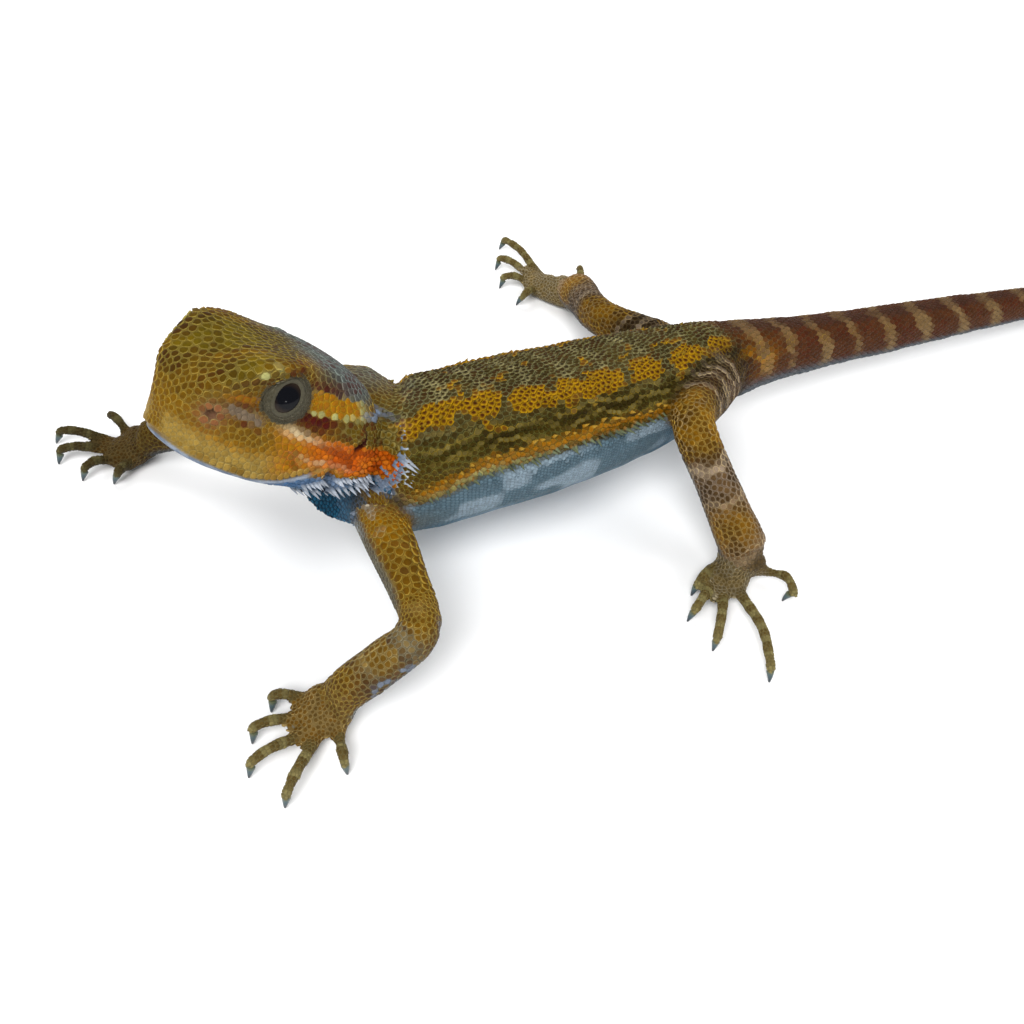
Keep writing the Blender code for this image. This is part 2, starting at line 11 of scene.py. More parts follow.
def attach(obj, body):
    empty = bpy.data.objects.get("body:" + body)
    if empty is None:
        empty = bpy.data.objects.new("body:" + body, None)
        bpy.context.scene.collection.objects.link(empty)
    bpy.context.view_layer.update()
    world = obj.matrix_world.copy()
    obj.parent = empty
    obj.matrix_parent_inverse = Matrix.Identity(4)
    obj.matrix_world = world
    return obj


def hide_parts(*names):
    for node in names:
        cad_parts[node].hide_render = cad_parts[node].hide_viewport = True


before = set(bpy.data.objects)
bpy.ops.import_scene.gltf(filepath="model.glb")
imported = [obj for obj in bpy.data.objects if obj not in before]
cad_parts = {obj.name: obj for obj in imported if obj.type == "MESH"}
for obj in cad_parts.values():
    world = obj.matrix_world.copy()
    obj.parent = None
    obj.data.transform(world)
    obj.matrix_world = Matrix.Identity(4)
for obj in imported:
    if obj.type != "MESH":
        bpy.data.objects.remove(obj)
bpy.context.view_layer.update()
mm = 0.001
rng = np.random.default_rng(11)
print("frame loaded,", len(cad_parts), "nodes")

# The body's own axes are in millimetres and start under the shoulders. These are the lines that the
# animal is posed along: the head's place and turn, the spine to the tail's tip, and the limbs.
pose = {
    "shift": (4.971, -66.679, 0.0),  # from the body's own axes to the frame
    "snout": (-0.1, -24.2, 27.9),
    "headTurn": (16.0, -28.0, -4.0),  # to the left, nose up, left side up
    "headLength": 22.4,
    "lean": -13.0,
    "vent": 57.0,
    "spine": (
        (-1.6, -0.4, 13.4), (-0.1, 8.0, 12.9), (0.5, 20.0, 11.95), (0.5, 33.0, 11.1),
        (0.0, 44.5, 10.7), (0.2, 55.0, 10.4), (1.3, 79.0, 7.9), (2.5, 104.0, 5.15),
        (4.5, 128.0, 2.7), (8.0, 149.0, 1.0), (13.0, 166.0, 0.38),
    ),
    # along the spine: place, half width, half height
    "girth": (
        (0, 7.9, 7.0), (4, 8.0, 8.1), (9, 9.4, 7.9), (16, 10.0, 7.7), (26, 10.1, 7.4), (36, 9.3, 7.1),
        (45, 7.7, 6.8), (52, 5.8, 5.9), (60, 4.4, 4.7), (70, 3.8, 3.8), (112, 2.7, 2.7),
        (140, 1.7, 1.7), (160, 0.95, 0.95), (178, 0.4, 0.4),
    ),
    # along the head: place, half width, half height
    "headGirth": (
        (0, 1.2, 1.3), (1, 2.6, 2.8), (2.6, 4.2, 4.1), (5, 5.7, 5.3), (7.6, 6.9, 6.2), (10.4, 7.8, 6.8),
        (13.6, 8.5, 7.1), (17, 9.3, 7.1), (20.2, 9.9, 7.1), (22.4, 9.6, 7.0), (24.2, 9.2, 6.8),
    ),
}
# each limb: root, bend, end, and the knuckle and end of each digit from the inner one outwards, with
# how far it bows to its left
limbs = {
    "armLeft": ((4.0, -3.9, 11.6), (21.5, -6.0, 10.8), (20.1, -15.1, 3.5), (
        (17.4, -18.6, 16.3, -21.1), (19.4, -20.0, 18.9, -24.1), (21.5, -20.4, 22.4, -25.6),
        (22.9, -19.3, 27.0, -23.7), (23.5, -16.8, 26.4, -17.5))),
    "armRight": ((-5.0, -1.5, 10.0), (-18.9, -12.9, 7.8), (-24.6, -21.8, 3.2), (
        (-22.6, -24.9, -21.6, -26.5), (-24.7, -26.7, -24.0, -29.8), (-26.9, -27.2, -28.2, -31.7),
        (-28.4, -26.4, -31.5, -30.9), (-28.7, -23.6, -31.9, -24.6))),
    "legLeft": ((1.5, 46.0, 11.2), (11.0, 33.2, 15.6), (23.6, 35.3, 4.6), (
        (22.7, 32.4, 24.0, 28.9), (24.8, 30.6, 27.0, 26.3), (26.3, 31.3, 31.4, 26.1),
        (27.1, 33.0, 37.3, 29.2, 0.6), (26.0, 37.7, 30.2, 38.6, 0.9))),
    "legRight": ((-1.5, 46.0, 9.0), (-16.8, 39.6, 9.0), (-29.1, 44.7, 3.6), (
        (-34.2, 40.4, -33.2, 37.8), (-36.8, 40.6, -38.6, 37.4), (-38.5, 41.7, -43.2, 39.2),
        (-38.9, 43.4, -47.4, 42.4, -0.3), (-32.8, 47.9, -35.9, 49.8))),
}
# how the limbs run through those points, in millimetres
limbForm = {
    "rounding": 3.2,  # of the elbow and the knee
    "ankleHeight": 2.1, "palmHeight": 1.35, "archHeight": 2.3, "tipHeight": 2.0,
    "arm": (3.2, 2.4, 2.35),  # half widths at the root, half way and at the wrist
    "leg": (4.1, 2.7, 2.6),
    "palm": ((2.6, 1.6), (2.3, 1.3)),  # half width and half height at its middle and its end
    "digit": (0.85, 0.7),
}


def unit(v):
    v = np.asarray(v, float)
    return v / np.maximum(np.linalg.norm(v, axis=-1, keepdims=True), 1e-9)


def toFrame(points):
    return (np.asarray(points, float) + np.array(pose["shift"])) * mm


def fromFrame(points):
    return np.asarray(points, float) / mm - np.array(pose["shift"])


yaw, pitch, roll = (math.radians(a) for a in pose["headTurn"])
headAxes = np.array(
    Matrix.Rotation(yaw, 3, "Z") @ Matrix.Rotation(pitch, 3, "X") @ Matrix.Rotation(roll, 3, "Y")
)


def toHead(points):
    return (points - np.array(pose["snout"])) @ headAxes


def fromHead(points):
    return np.asarray(points, float) @ headAxes.T + np.array(pose["snout"])


def runOf(line):
    # the distance along a line at each of its points
    return np.concatenate([[0], np.cumsum(np.linalg.norm(np.diff(line, axis=0), axis=1))])


def smoothLine(points, startSlope=None, step=0.5):
    # a dense curve through the points, and the distance along it
    points = np.array(points, float)
    chords = np.linalg.norm(np.diff(points, axis=0), axis=1)
    along = runOf(points)
    last = len(points) - 1
    before = [max(i - 1, 0) for i in range(last + 1)]
    after = [min(i + 1, last) for i in range(last + 1)]
    slopes = (points[after] - points[before]) / (along[after] - along[before])[:, None]
    if startSlope is not None:
        slopes[0] = startSlope
    rows = [points[:1]]
    for i, chord in enumerate(chords):
        t = np.linspace(0, 1, max(2, round(chord / step)) + 1)[1:, None]
        rows.append(
            points[i] * (2 * t**3 - 3 * t**2 + 1) + slopes[i] * chord * (t**3 - 2 * t**2 + t)
            + points[i + 1] * (3 * t**2 - 2 * t**3) + slopes[i + 1] * chord * (t**3 - t**2)
        )
    line = np.concatenate(rows)
    return runOf(line), line


def makeTube(name, line, girth, upright):
    # a body line with its own axes at every point: ahead, side and top
    places, line = line
    ahead = unit(np.gradient(line, axis=0))
    if upright:  # the spine: its side is the animal's left
        side = unit(np.cross([0.0, 0.0, 1.0], -ahead))
        top = np.cross(-ahead, side)
        lean = np.radians(pose["lean"] * np.clip(1 - (places - pose["vent"]) / 30, 0, 1))[:, None]
        side, top = (v * np.cos(lean) + np.cross(ahead, v) * np.sin(lean) for v in (side, top))
    else:
        side = unit(np.cross(ahead, [0.0, 0.0, 1.0]))
        top = np.cross(side, ahead)
    rows = np.array(girth, float)
    return {"name": name, "places": places, "line": line, "ahead": ahead, "side": side, "top": top,
            "width": np.interp(places, rows[:, 0], rows[:, 1]),
            "height": np.interp(places, rows[:, 0], rows[:, -1])}


def bentLine(root, bend, end):
    root, bend, end = (np.array(p) for p in (root, bend, end))
    near, far = (bend + unit(p - bend) * limbForm["rounding"] for p in (root, end))
    t = np.linspace(0, 1, 9)[:, None]
    return root, near * (1 - t) ** 2 + bend * 2 * t * (1 - t) + far * t * t, end


def atHeight(point, height):
    return np.array((point[0], point[1], height))


def spineAndHead():
    back = fromHead((0.0, pose["headLength"] - 0.3, 0.0))
    body = makeTube("body", smoothLine([back, *pose["spine"]], headAxes[:, 1]), pose["girth"], True)
    places = np.linspace(0.3, 23.9, 48)
    line = fromHead(np.stack([0 * places, places, 0 * places + 1.0], 1))
    head = makeTube("head", (places, line), pose["headGirth"], False)
    head["side"], head["top"] = (np.tile(headAxes[:, k], (len(places), 1)) for k in (0, 2))
    return [body, head]


def makeTubes():
    # the body, the head, and each limb followed by its digits; a limb's tube has a wrist, which is the
    # ankle on a leg, and a digit's has a knuckle
    found = spineAndHead()
    for name, (root, bend, end, digits) in limbs.items():
        root, curve, end = bentLine(root, bend, end)
        knuckles = np.array([(*row[:2], limbForm["palmHeight"]) for row in digits])
        middle = knuckles[:4].mean(0)
        heart = end + (middle - end) * 0.35
        palm = middle + (middle - end) * 0.25
        turn = atHeight(end + unit(end - curve[-1]) * 0.6, limbForm["ankleHeight"])
        path = [np.linspace(root, curve[0], 6)[:-1], curve, np.linspace(curve[-1], end, 5)[1:],
                [turn, atHeight(palm, limbForm["palmHeight"])]]
        line = smoothLine(np.concatenate(path), step=0.4)
        total, reach = line[0][-1], np.linalg.norm(palm - end)
        wrist = total - reach
        thick, mid, slim = limbForm[name[:3]]
        halfPalm, endPalm = limbForm["palm"]
        girth = ((0, thick, thick), (wrist * 0.5, mid, mid), (wrist, slim, slim * 0.9),
                 (wrist + reach * 0.4, *halfPalm), (total, *endPalm))
        found.append(makeTube(name, line, girth, False) | {"wrist": wrist, "total": total})
        for number, (knuckle, row) in enumerate(zip(knuckles, digits), 1):
            tip = np.array((row[2], row[3], limbForm["tipHeight"]))
            out = tip - knuckle
            bow = row[4] if len(row) > 4 else 0.0
            arch = knuckle + out * 0.55 + unit(np.cross((0.0, 0.0, 1.0), out)) * bow
            arch = atHeight(arch, limbForm["archHeight"])
            down = tip + unit(out) * 0.35 - np.array((0, 0, 0.45))
            start = atHeight(heart, limbForm["palmHeight"])
            line = smoothLine([start, knuckle, arch, tip, down], step=0.3)
            total, base = line[0][-1], np.linalg.norm(knuckle - heart)
            first, last = limbForm["digit"]
            girth = ((0, first, first), (total, last, last))
            digit = makeTube(f"{name}{number}", line, girth, False)
            found.append(digit | {"start": base * 0.6, "knuckle": base, "total": total})
    return found


tubes = makeTubes()
limbTubes = [i for i, tube in enumerate(tubes) if "wrist" in tube]
digitTubes = [i for i, tube in enumerate(tubes) if "knuckle" in tube]


def tubePlaces(tube, points):
    # for each point: distance along the line, angle round it (0 on top, positive to the left) and
    # how far out it lies, 1 being the surface
    line = tube["line"]
    near = np.empty(len(points), int)
    for a in range(0, len(points), 8000):
        block = points[a : a + 8000]
        gap = (line**2).sum(1)[None] - 2 * block @ line.T
        near[a : a + 8000] = gap.argmin(1)
    off = points - line[near]
    along = (off * tube["ahead"][near]).sum(1)
    x, y = (off * tube["side"][near]).sum(1), (off * tube["top"][near]).sum(1)
    angle = np.degrees(np.arctan2(x, y))
    x, y = x / tube["width"][near], y / tube["height"][near]
    beyond = np.where((near == 0) | (near == len(line) - 1), np.abs(along), 0)
    out = np.sqrt(x * x + y * y + (beyond / tube["width"][near]) ** 2)
    return tube["places"][near] + along, angle, out


def locate(points):
    # the places of the points on every tube, and the tube that each point belongs to
    places = [tubePlaces(tube, points) for tube in tubes]
    out = np.array([p[2] for p in places])
    return places, out, out.argmin(0)


def ease(x, low, high):
    # 0 up to low, 1 from high on
    t = np.clip((x - low) / (high - low), 0, 1)
    return t * t * (3 - 2 * t)


def fade(x, low, high):
    return 1 - ease(x, low, high)


def hump(x, centre, width):
    return np.exp(-(((x - centre) / width) ** 2))


def softNoise(points, size, seed=0):
    # smooth noise from 0 to 1 on a lattice of that size in millimetres
    q = points / size + seed * 7.31
    cell = np.floor(q).astype(np.int64)
    f = q - cell
    f = f * f * (3 - 2 * f)
    total = np.zeros(len(points))
    for corner in itertools.product((0, 1), repeat=3):
        c = cell + np.array(corner)
        h = (c[:, 0] * 73856093) ^ (c[:, 1] * 19349663) ^ (c[:, 2] * 83492791) ^ (seed * 2654435)
        h = ((h * 2654435761) >> 9) & 0xFFFF
        total += np.prod(np.where(np.array(corner) == 1, f, 1 - f), axis=1) * h / 65535.0
    return total


def tone(r, g, b):
    # a colour named as on a paint chart, made linear
    c = np.array((r, g, b)) / 255.0
    return np.where(c <= 0.04045, c / 12.92, ((c + 0.055) / 1.055) ** 2.4)


skinShape = {
    "bridge": 0.2,  # the copies of the flesh are grown by this, to close the gaps between them
    "voxel": 0.38,
    "coatDepth": 0.17,
    "evening": {"all": 8, "joints": 60, "refined": 3, "last": 2},  # rounds
    "eyeCentre": (5.5, 10.2, 5.05),  # in the head's own axes
    "eyeRadius": 2.2,
    "lidRadius": 2.4,
    "gaze": (0.80, -0.52, 0.30),
    "opening": (26.5, 44.0),  # degrees from the gaze to the lids, across and up
    "openingLean": 22.0,  # the opening's top leans back
    "nostril": (3.95, 3.6, 2.7),
    "ear": (9.1, 18.9, 1.3),
    # balls that fill holes and gaps
    "eyeFill": (2.6, 2.6, 2.6),
    "earFill": (0.9, 1.1, 1.7),
    "ankleFill": ((0.3, 2.25), (0.6, 1.9)),  # share of the way to the knuckles, radius
    "web": 1.75,
    "digitEnd": 0.74,  # these carry the ends of the digits to the claws
    "digitEndHeight": 1.65, "palmHeight": 1.2,
}
# how far each part of the surface is raised or sunk, in millimetres
relief = {
    "lidRim": (0.1, 0.08, 0.05),  # the rim, the groove round it and the fold outside
    "lipGroove": 0.28, "upperLip": 0.10, "lowerLip": 0.06,
    "nostrilRim": 0.1, "nostrilPit": 0.55, "earPit": 1.1,
    "brow": 0.18, "jowlCrease": 0.15,
    "flankFolds": 0.28, "trunk": 0.2, "neckFolds": 0.22,
    "limbCreases": 0.09, "limbs": 0.14, "digitJoints": 0.03,
}
# the line of the mouth: distance from the snout's tip, height
mouthLine = np.array(((-0.5, -0.45), (0.7, -0.7), (1.4, -1.15), (2.6, -1.75), (5.0, -2.5), (7.6, -3.1),
                      (10.4, -3.1), (13.0, -2.5), (15.0, -1.6)))


def lipAt(y):
    return np.interp(y, mouthLine[:, 0], mouthLine[:, 1])


def mirrored(point, side):
    return np.array((point[0] * side, point[1], point[2]))


def foldedHead(head):
    # the right half of the head laid on its left one
    return np.stack([np.abs(head[:, 0]), head[:, 1], head[:, 2]], axis=1)


def gapTo(folded, key):
    return np.linalg.norm(folded - np.array(skinShape[key]), axis=1)


def earAxes(off):
    # the ear's slit leans back at its top: distances across it and along it
    return off[:, 1] * 0.9 - off[:, 2] * 0.43, off[:, 1] * 0.43 + off[:, 2] * 0.9


def deselect():
    bpy.ops.object.select_all(action="DESELECT")


def activate(obj):
    deselect()
    obj.select_set(True)
    bpy.context.view_layer.objects.active = obj


def applyModifier(obj, kind, **values):
    activate(obj)
    step = obj.modifiers.new("shape", kind)
    for key, value in values.items():
        setattr(step, key, value)
    bpy.ops.object.modifier_apply(modifier=step.name)


def editAll(operator, **values):
    # an operator on the whole mesh of the active object
    bpy.ops.object.mode_set(mode="EDIT")
    bpy.ops.mesh.select_all(action="SELECT")
    operator(**values)
    bpy.ops.object.mode_set(mode="OBJECT")


def joined(pieces, name):
    deselect()
    for piece in pieces:
        piece.select_set(True)
    bpy.context.view_layer.objects.active = pieces[0]
    bpy.ops.object.join()
    made = bpy.context.view_layer.objects.active
    made.name = made.data.name = name
    return made


def linked(name, mesh):
    made = bpy.data.objects.new(name, mesh)
    bpy.context.scene.collection.objects.link(made)
    return made


def copyNodes(name, nodes):
    made = joined([linked(node + "Copy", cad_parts[node].data.copy()) for node in nodes], name)
    made.data.materials.clear()
    for key in [a.name for a in made.data.attributes if a.name.startswith("UV")]:
        made.data.attributes.remove(made.data.attributes[key])
    editAll(bpy.ops.mesh.remove_doubles, threshold=0.00001)
    return made


def readAll(items, key, width, kind=np.float32):
    flat = np.empty(len(items) * width, kind)
    items.foreach_get(key, flat)
    return flat.reshape(-1, width)


def meshPoints(obj):
    return fromFrame(readAll(obj.data.vertices, "co", 3).astype(float))


def setPoints(obj, points):
    obj.data.vertices.foreach_set("co", toFrame(points).astype(np.float32).ravel())
    obj.data.update()


def meshNormals(obj):
    return readAll(obj.data.vertex_normals, "vector", 3).astype(float)


def meshEdges(obj):
    return readAll(obj.data.edges, "vertices", 2, np.int32)


def relax(values, edges, rounds, share=1.0, pull=0.5, push=-0.52):
    # evens a surface, and swells it back each round so that thin parts keep their size
    count = len(values)
    degree = np.bincount(edges.ravel(), minlength=count)[:, None]
    for turn in range(rounds * 2):
        total = np.stack([
            np.bincount(edges[:, 0], values[edges[:, 1], k], count)
            + np.bincount(edges[:, 1], values[edges[:, 0], k], count)
            for k in range(3)
        ], axis=1)
        values = values + (total / degree - values) * (push if turn % 2 else pull) * share
    return values


def eyeFrame(side):
    # the eye's centre, the way it looks, and the axes across and up over it, in the head's own axes
    centre = mirrored(skinShape["eyeCentre"], side)
    gaze = unit(mirrored(skinShape["gaze"], side))
    across = unit(np.cross(gaze, (0.0, 0.0, 1.0)))
    up = np.cross(across, gaze)
    lean = math.radians(skinShape["openingLean"]) * side
    turned = across * math.cos(lean) + up * math.sin(lean)
    return centre, gaze, turned, np.cross(turned, gaze)


def eyeAngles(head, side):
    # distance from the eye's centre, angle from its gaze, and the angle at which the lids begin there
    centre, gaze, across, up = eyeFrame(side)
    off = head - centre
    reach = np.linalg.norm(off, axis=1)
    way = off / np.maximum(reach, 1e-6)[:, None]
    angle = np.degrees(np.arccos(np.clip(way @ gaze, -1, 1)))
    around = np.arctan2(way @ up, way @ across)
    wide, tall = skinShape["opening"]
    return reach, angle, 1 / np.sqrt((np.cos(around) / wide) ** 2 + (np.sin(around) / tall) ** 2)


def largestPart(obj):
    # drops the crumbs that a remesh can leave beside the main surface
    activate(obj)
    editAll(bpy.ops.mesh.separate, type="LOOSE")
    parts = sorted(bpy.context.selected_objects, key=lambda part: len(part.data.vertices))
    for crumb in parts[:-1]:
        bpy.data.objects.remove(crumb)
    parts[-1].name = parts[-1].data.name = "skin"
    return parts[-1]


def fillingBalls():
    # places and sizes of the balls that fill holes and gaps
    spots = []
    for side in (1, -1):
        for key, fill in (("eyeCentre", "eyeFill"), ("ear", "earFill")):
            spots.append((fromHead(mirrored(skinShape[key], side)), skinShape[fill]))
    for name, (_, _, end, digits) in limbs.items():
        end, knuckles = np.array(end), np.array([(*row[:2], skinShape["palmHeight"]) for row in digits])
        for row in digits:
            out = unit(np.array((row[2] - row[0], row[3] - row[1], 0.0)))
            tip = np.array((row[2], row[3], skinShape["digitEndHeight"]))
            spots.append((tip + out * 0.3, (skinShape["digitEnd"],) * 3))
        if name.startswith("leg"):  # the ankle is filled towards the foot
            for share, size in skinShape["ankleFill"]:
                spots.append((end * (1 - share) + knuckles[:4].mean(0) * share, (size,) * 3))
        for knuckle in knuckles[[0, 4]]:  # the web beside the wrist or the ankle
            spots.append((end * 0.5 + knuckle * 0.5, (skinShape["web"],) * 3))
    return spots


def makeSkin():
    skin = copyNodes("skin", fleshNodes)
    applyModifier(skin, "DISPLACE", strength=skinShape["bridge"] * mm, mid_level=0.0)
    pieces = [skin]
    for place, size in fillingBalls():
        bpy.ops.mesh.primitive_uv_sphere_add(segments=24, ring_count=16, radius=mm,
                                             location=toFrame(place))
        bpy.ops.transform.resize(value=size)
        pieces.append(bpy.context.view_layer.objects.active)
    skin = joined(pieces, "skin")
    applyModifier(skin, "REMESH", mode="VOXEL", voxel_size=skinShape["voxel"] * mm)
    skin = largestPart(skin)
    rounds = skinShape["evening"]
    points = relax(meshPoints(skin), meshEdges(skin), rounds["all"])
    points = relax(points, meshEdges(skin), rounds["joints"], jointShare(points)[:, None], push=-0.4)
    setPoints(skin, points)
    refineHead(skin)
    points = relax(meshPoints(skin), meshEdges(skin), rounds["refined"])
    setPoints(skin, points)
    depth = skinShape["bridge"] + skinShape["coatDepth"] * (1 + 0.1 * digitShare(points))
    points = points - meshNormals(skin) * depth[:, None]
    points = relax(points, meshEdges(skin), rounds["last"])
    setPoints(skin, points)
    points = sculpt(points, meshNormals(skin))
    setPoints(skin, points)
    activate(skin)
    bpy.ops.object.shade_smooth()
    print("skin:", len(points), "points")
    return skin


def jointShare(points):
    # 1 on the wrists and the ankles, where the parts are evened into each other
    share = np.zeros(len(points))
    for tube in (tubes[i] for i in limbTubes):
        place, _, out = tubePlaces(tube, points)
        share = np.maximum(share, hump(place, tube["wrist"] + 0.3, 2.6) * (out < 1.9))
    return np.minimum(share * 1.3, 1)


def digitShare(points):
    share = np.zeros(len(points))
    for tube in (tubes[i] for i in digitTubes):
        place, _, out = tubePlaces(tube, points)
        along = ease(place, tube["start"], tube["knuckle"] + 0.5)
        share = np.maximum(share, along * (out < 2.0))
    return share


def refineHead(skin):
    # the lids, the lips, the nostrils and the ears are divided once more
    folded = foldedHead(toHead(fromFrame(readAll(skin.data.polygons, "center", 3))))
    chosen = (np.abs(folded[:, 2] - lipAt(folded[:, 1])) < 0.9) & (folded[:, 1] < 15.5)
    for key, size in (("eyeCentre", 4.2), ("nostril", 1.5), ("ear", 1.9)):
        chosen |= gapTo(folded, key) < size
    activate(skin)
    bpy.ops.object.mode_set(mode="EDIT")
    bpy.ops.mesh.select_mode(type="FACE")
    bpy.ops.mesh.select_all(action="DESELECT")
    bpy.ops.object.mode_set(mode="OBJECT")
    skin.data.polygons.foreach_set("select", chosen)
    bpy.ops.object.mode_set(mode="EDIT")
    bpy.ops.mesh.subdivide(number_cuts=1, smoothness=0.0)
    bpy.ops.object.mode_set(mode="OBJECT")


def shapeLids(points, head):
    # the skin turns in at the opening and passes behind the eyeball
    rim, groove, outer = relief["lidRim"]
    for side in (1, -1):
        reach, angle, edge = eyeAngles(head, side)
        near = (reach < 3.4) & (np.where(head[:, 0] > 0, 1, -1) == side) & (angle < 105)
        centre = fromHead(eyeFrame(side)[0])
        t = angle / edge
        ball = 1.6 + (skinShape["lidRadius"] - 1.6) * ease(t, 0.82, 1.12)
        ball = ball + rim * hump(t, 1.2, 0.1) - groove * hump(t, 1.35, 0.07)
        ball = ball + outer * hump(t, 1.55, 0.09)
        keep = ease(angle, 70, 100)
        target = np.where(angle < 70, ball, np.maximum(ball, reach) * keep + ball * (1 - keep))
        swap = near & ((angle < 75) | (reach < target))
        points = np.where(swap[:, None], centre + unit(points - centre) * target[:, None], points)
    return points


def headRelief(folded):
    _, y, z = folded.T
    # mouth: a groove along the lips that fades past the corner
    lip = lipAt(y)
    along = fade(y, 14.0, 15.6) * ease(z, -5.5, -4.5)
    rise = -relief["lipGroove"] * hump(z, lip, 0.17) * along
    rise += relief["upperLip"] * hump(z, lip + 0.55, 0.35) * along
    rise += relief["lowerLip"] * hump(z, lip - 0.5, 0.35) * along
    # nostril: a pit with a soft rim
    far = gapTo(folded, "nostril")
    rise += relief["nostrilRim"] * hump(far, 0.8, 0.25) - relief["nostrilPit"] * hump(far, 0, 0.4)
    # ear: a slanting slit
    slit, length = earAxes(folded - np.array(skinShape["ear"]))
    rise -= relief["earPit"] * hump(slit, 0, 0.36) * hump(length, 0, 1.1)
    # brow ridge and the crease over the jowl
    rise += relief["brow"] * hump(z, 7.9, 0.7) * hump(y, 9.0, 4.0)
    rise -= relief["jowlCrease"] * hump(z, -1.0 + 0.12 * (y - 15), 0.35) * hump(y, 16.5, 2.2)
    return rise


def bodyRelief(points, place, angle):
    # lengthwise folds low on the flanks, folds of the neck, and a little unevenness all over
    a = np.abs(angle)
    wave = np.sin(np.radians(a * 22) + 2.2 * softNoise(points, 5.0, 3) * 2 + place * 0.12)
    zone = hump(a, 66, 14) * ease(place, 7, 13) * fade(place, 40, 50)
    rise = zone * relief["flankFolds"] * (wave - 0.3)
    rise += relief["trunk"] * (softNoise(points, 2.6, 5) - 0.5) * ease(place, 0, 4)
    fold = hump(place % 1.9, 0.95, 0.35) * hump(place, 3.5, 3.2) * ease(a, 40, 80)
    return rise - relief["neckFolds"] * fold


def limbRelief(points, tube, place):
    # creases across the bends, the wrists and the ankles, and the joints of the digits
    if "knuckle" in tube:
        joint = np.cos((place - tube["knuckle"]) * 2 * np.pi / 2.1)
        return relief["digitJoints"] * joint * ease(place, tube["knuckle"] - 1, tube["knuckle"])
    bend = hump(place, tube["wrist"], 1.6) + 0.7 * hump(place, tube["wrist"] * 0.55, 2.0)
    rise = relief["limbCreases"] * (np.sin(place * 5.2) * bend)
    return rise + relief["limbs"] * (softNoise(points, 2.2, 8) - 0.5)


def sculpt(points, normals):
    head = toHead(points)
    places, _, owner = locate(points)
    points = shapeLids(points, head)
    rise = (owner == 1) * headRelief(foldedHead(head))
    rise += (owner == 0) * bodyRelief(points, *places[0][:2])
    for index in limbTubes + digitTubes:
        rise += (owner == index) * limbRelief(points, tubes[index], places[index][0])
    return aboveFloor(points + normals * rise[:, None])


def aboveFloor(points):
    points[..., 2] = np.maximum(points[..., 2], 0.02)
    return points


fleshNodes = [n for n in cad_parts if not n.startswith(("claw", "eye"))]
skin = makeSkin()
skinPoints, skinNormals = meshPoints(skin), meshNormals(skin)
skin.data.calc_loop_triangles()
triangles = readAll(skin.data.loop_triangles, "vertices", 3, np.int32)
skinTree = BVHTree.FromPolygons(skinPoints.tolist(), triangles.tolist())
print("skin triangles:", len(triangles))


def normalsAt(faces, points):
    # smooth normals at points on faces, from the corners' own
    corners = triangles[faces]
    gaps = [np.linalg.norm(points - skinPoints[corners[:, k]], axis=1) for k in range(3)]
    weights = 1 / (np.stack(gaps, axis=1) + 0.03)
    weights /= weights.sum(1, keepdims=True)
    return unit((skinNormals[corners] * weights[:, :, None]).sum(1))


# Every part of the hide has two colours: the middles of its scales, and the net round them.
tones = {
    "ochre": (113, 81, 12), "ochreNet": (178, 148, 66),
    "crown": (76, 59, 12), "crownNet": (160, 142, 70), "moss": (108, 92, 14),
    "nape": (84, 92, 90), "napeNet": (136, 152, 152),
    "lip": (152, 124, 58), "lipNet": (178, 156, 92),
    "amber": (158, 108, 14), "orange": (184, 84, 0), "orangeNet": (204, 124, 36),
    "mauve": (114, 98, 80), "mauveNet": (138, 122, 102),
    "pinkNose": (146, 88, 68), "noseHole": (70, 28, 22),
    "lidGrey": (78, 74, 60), "lidPale": (108, 104, 88), "cream": (214, 190, 146),
    "maroon": (76, 26, 14), "maroonNet": (116, 66, 32),
    "gold": (158, 104, 6), "goldNet": (188, 150, 38), "lime": (172, 170, 108),
    "olive": (94, 74, 24), "oliveNet": (144, 130, 74),
    "paleBlue": (126, 142, 164), "white": (192, 200, 212), "jawBlue": (66, 102, 142),
    "deepBlue": (34, 92, 122), "night": (10, 28, 40),
    "back": (74, 62, 34), "backNet": (138, 134, 92), "backDark": (44, 36, 18),
    "spike": (112, 120, 92), "patch": (86, 52, 2), "patchNet": (194, 150, 30),
    "rust": (66, 34, 6), "barNet": (170, 160, 112),
    "flank": (66, 54, 22), "flankNet": (122, 116, 60),
    "fringe": (146, 96, 10), "fringeNet": (164, 128, 50),
    "belly": (92, 114, 126), "bellyNet": (74, 96, 108), "bellyPale": (146, 164, 176),
    "bellyBlue": (52, 110, 146),
    "arm": (100, 70, 4), "armNet": (170, 142, 62),
    "granule": (88, 82, 66), "granuleNet": (136, 132, 112),
    "forearm": (110, 80, 26), "forearmNet": (170, 150, 96), "armDark": (58, 40, 34),
    "hand": (104, 76, 32), "handNet": (166, 142, 90),
    "foot": (94, 80, 52), "footNet": (156, 144, 116),
    "digitDark": (94, 78, 44), "digitPale": (138, 128, 84), "digitNet": (126, 114, 74),
    "thigh": (44, 33, 20), "thighNet": (92, 76, 52),
    "knee": (122, 84, 12), "kneeNet": (176, 144, 70),
    "shank": (96, 74, 48), "shankNet": (158, 140, 120),
    "ankle": (104, 86, 58), "sole": (120, 112, 92),
    "tailDark": (78, 46, 28), "tailDarkNet": (110, 78, 54), "tailTop": (64, 48, 42),
    "tailPale": (132, 108, 72), "tailPaleNet": (152, 128, 88), "tailUnder": (88, 98, 106),
}
# each tone is named as it looks under the studio's light, whose sheen is taken out of it again here
sheen = 0.006
hues = {name: np.clip(tone(*rgb) - sheen, 0.0012, 0.75) for name, rgb in tones.items()}


def blend(colour, hue, share):
    share = np.clip(share, 0, 1)[:, None]
    return colour * (1 - share) + hues[hue] * share


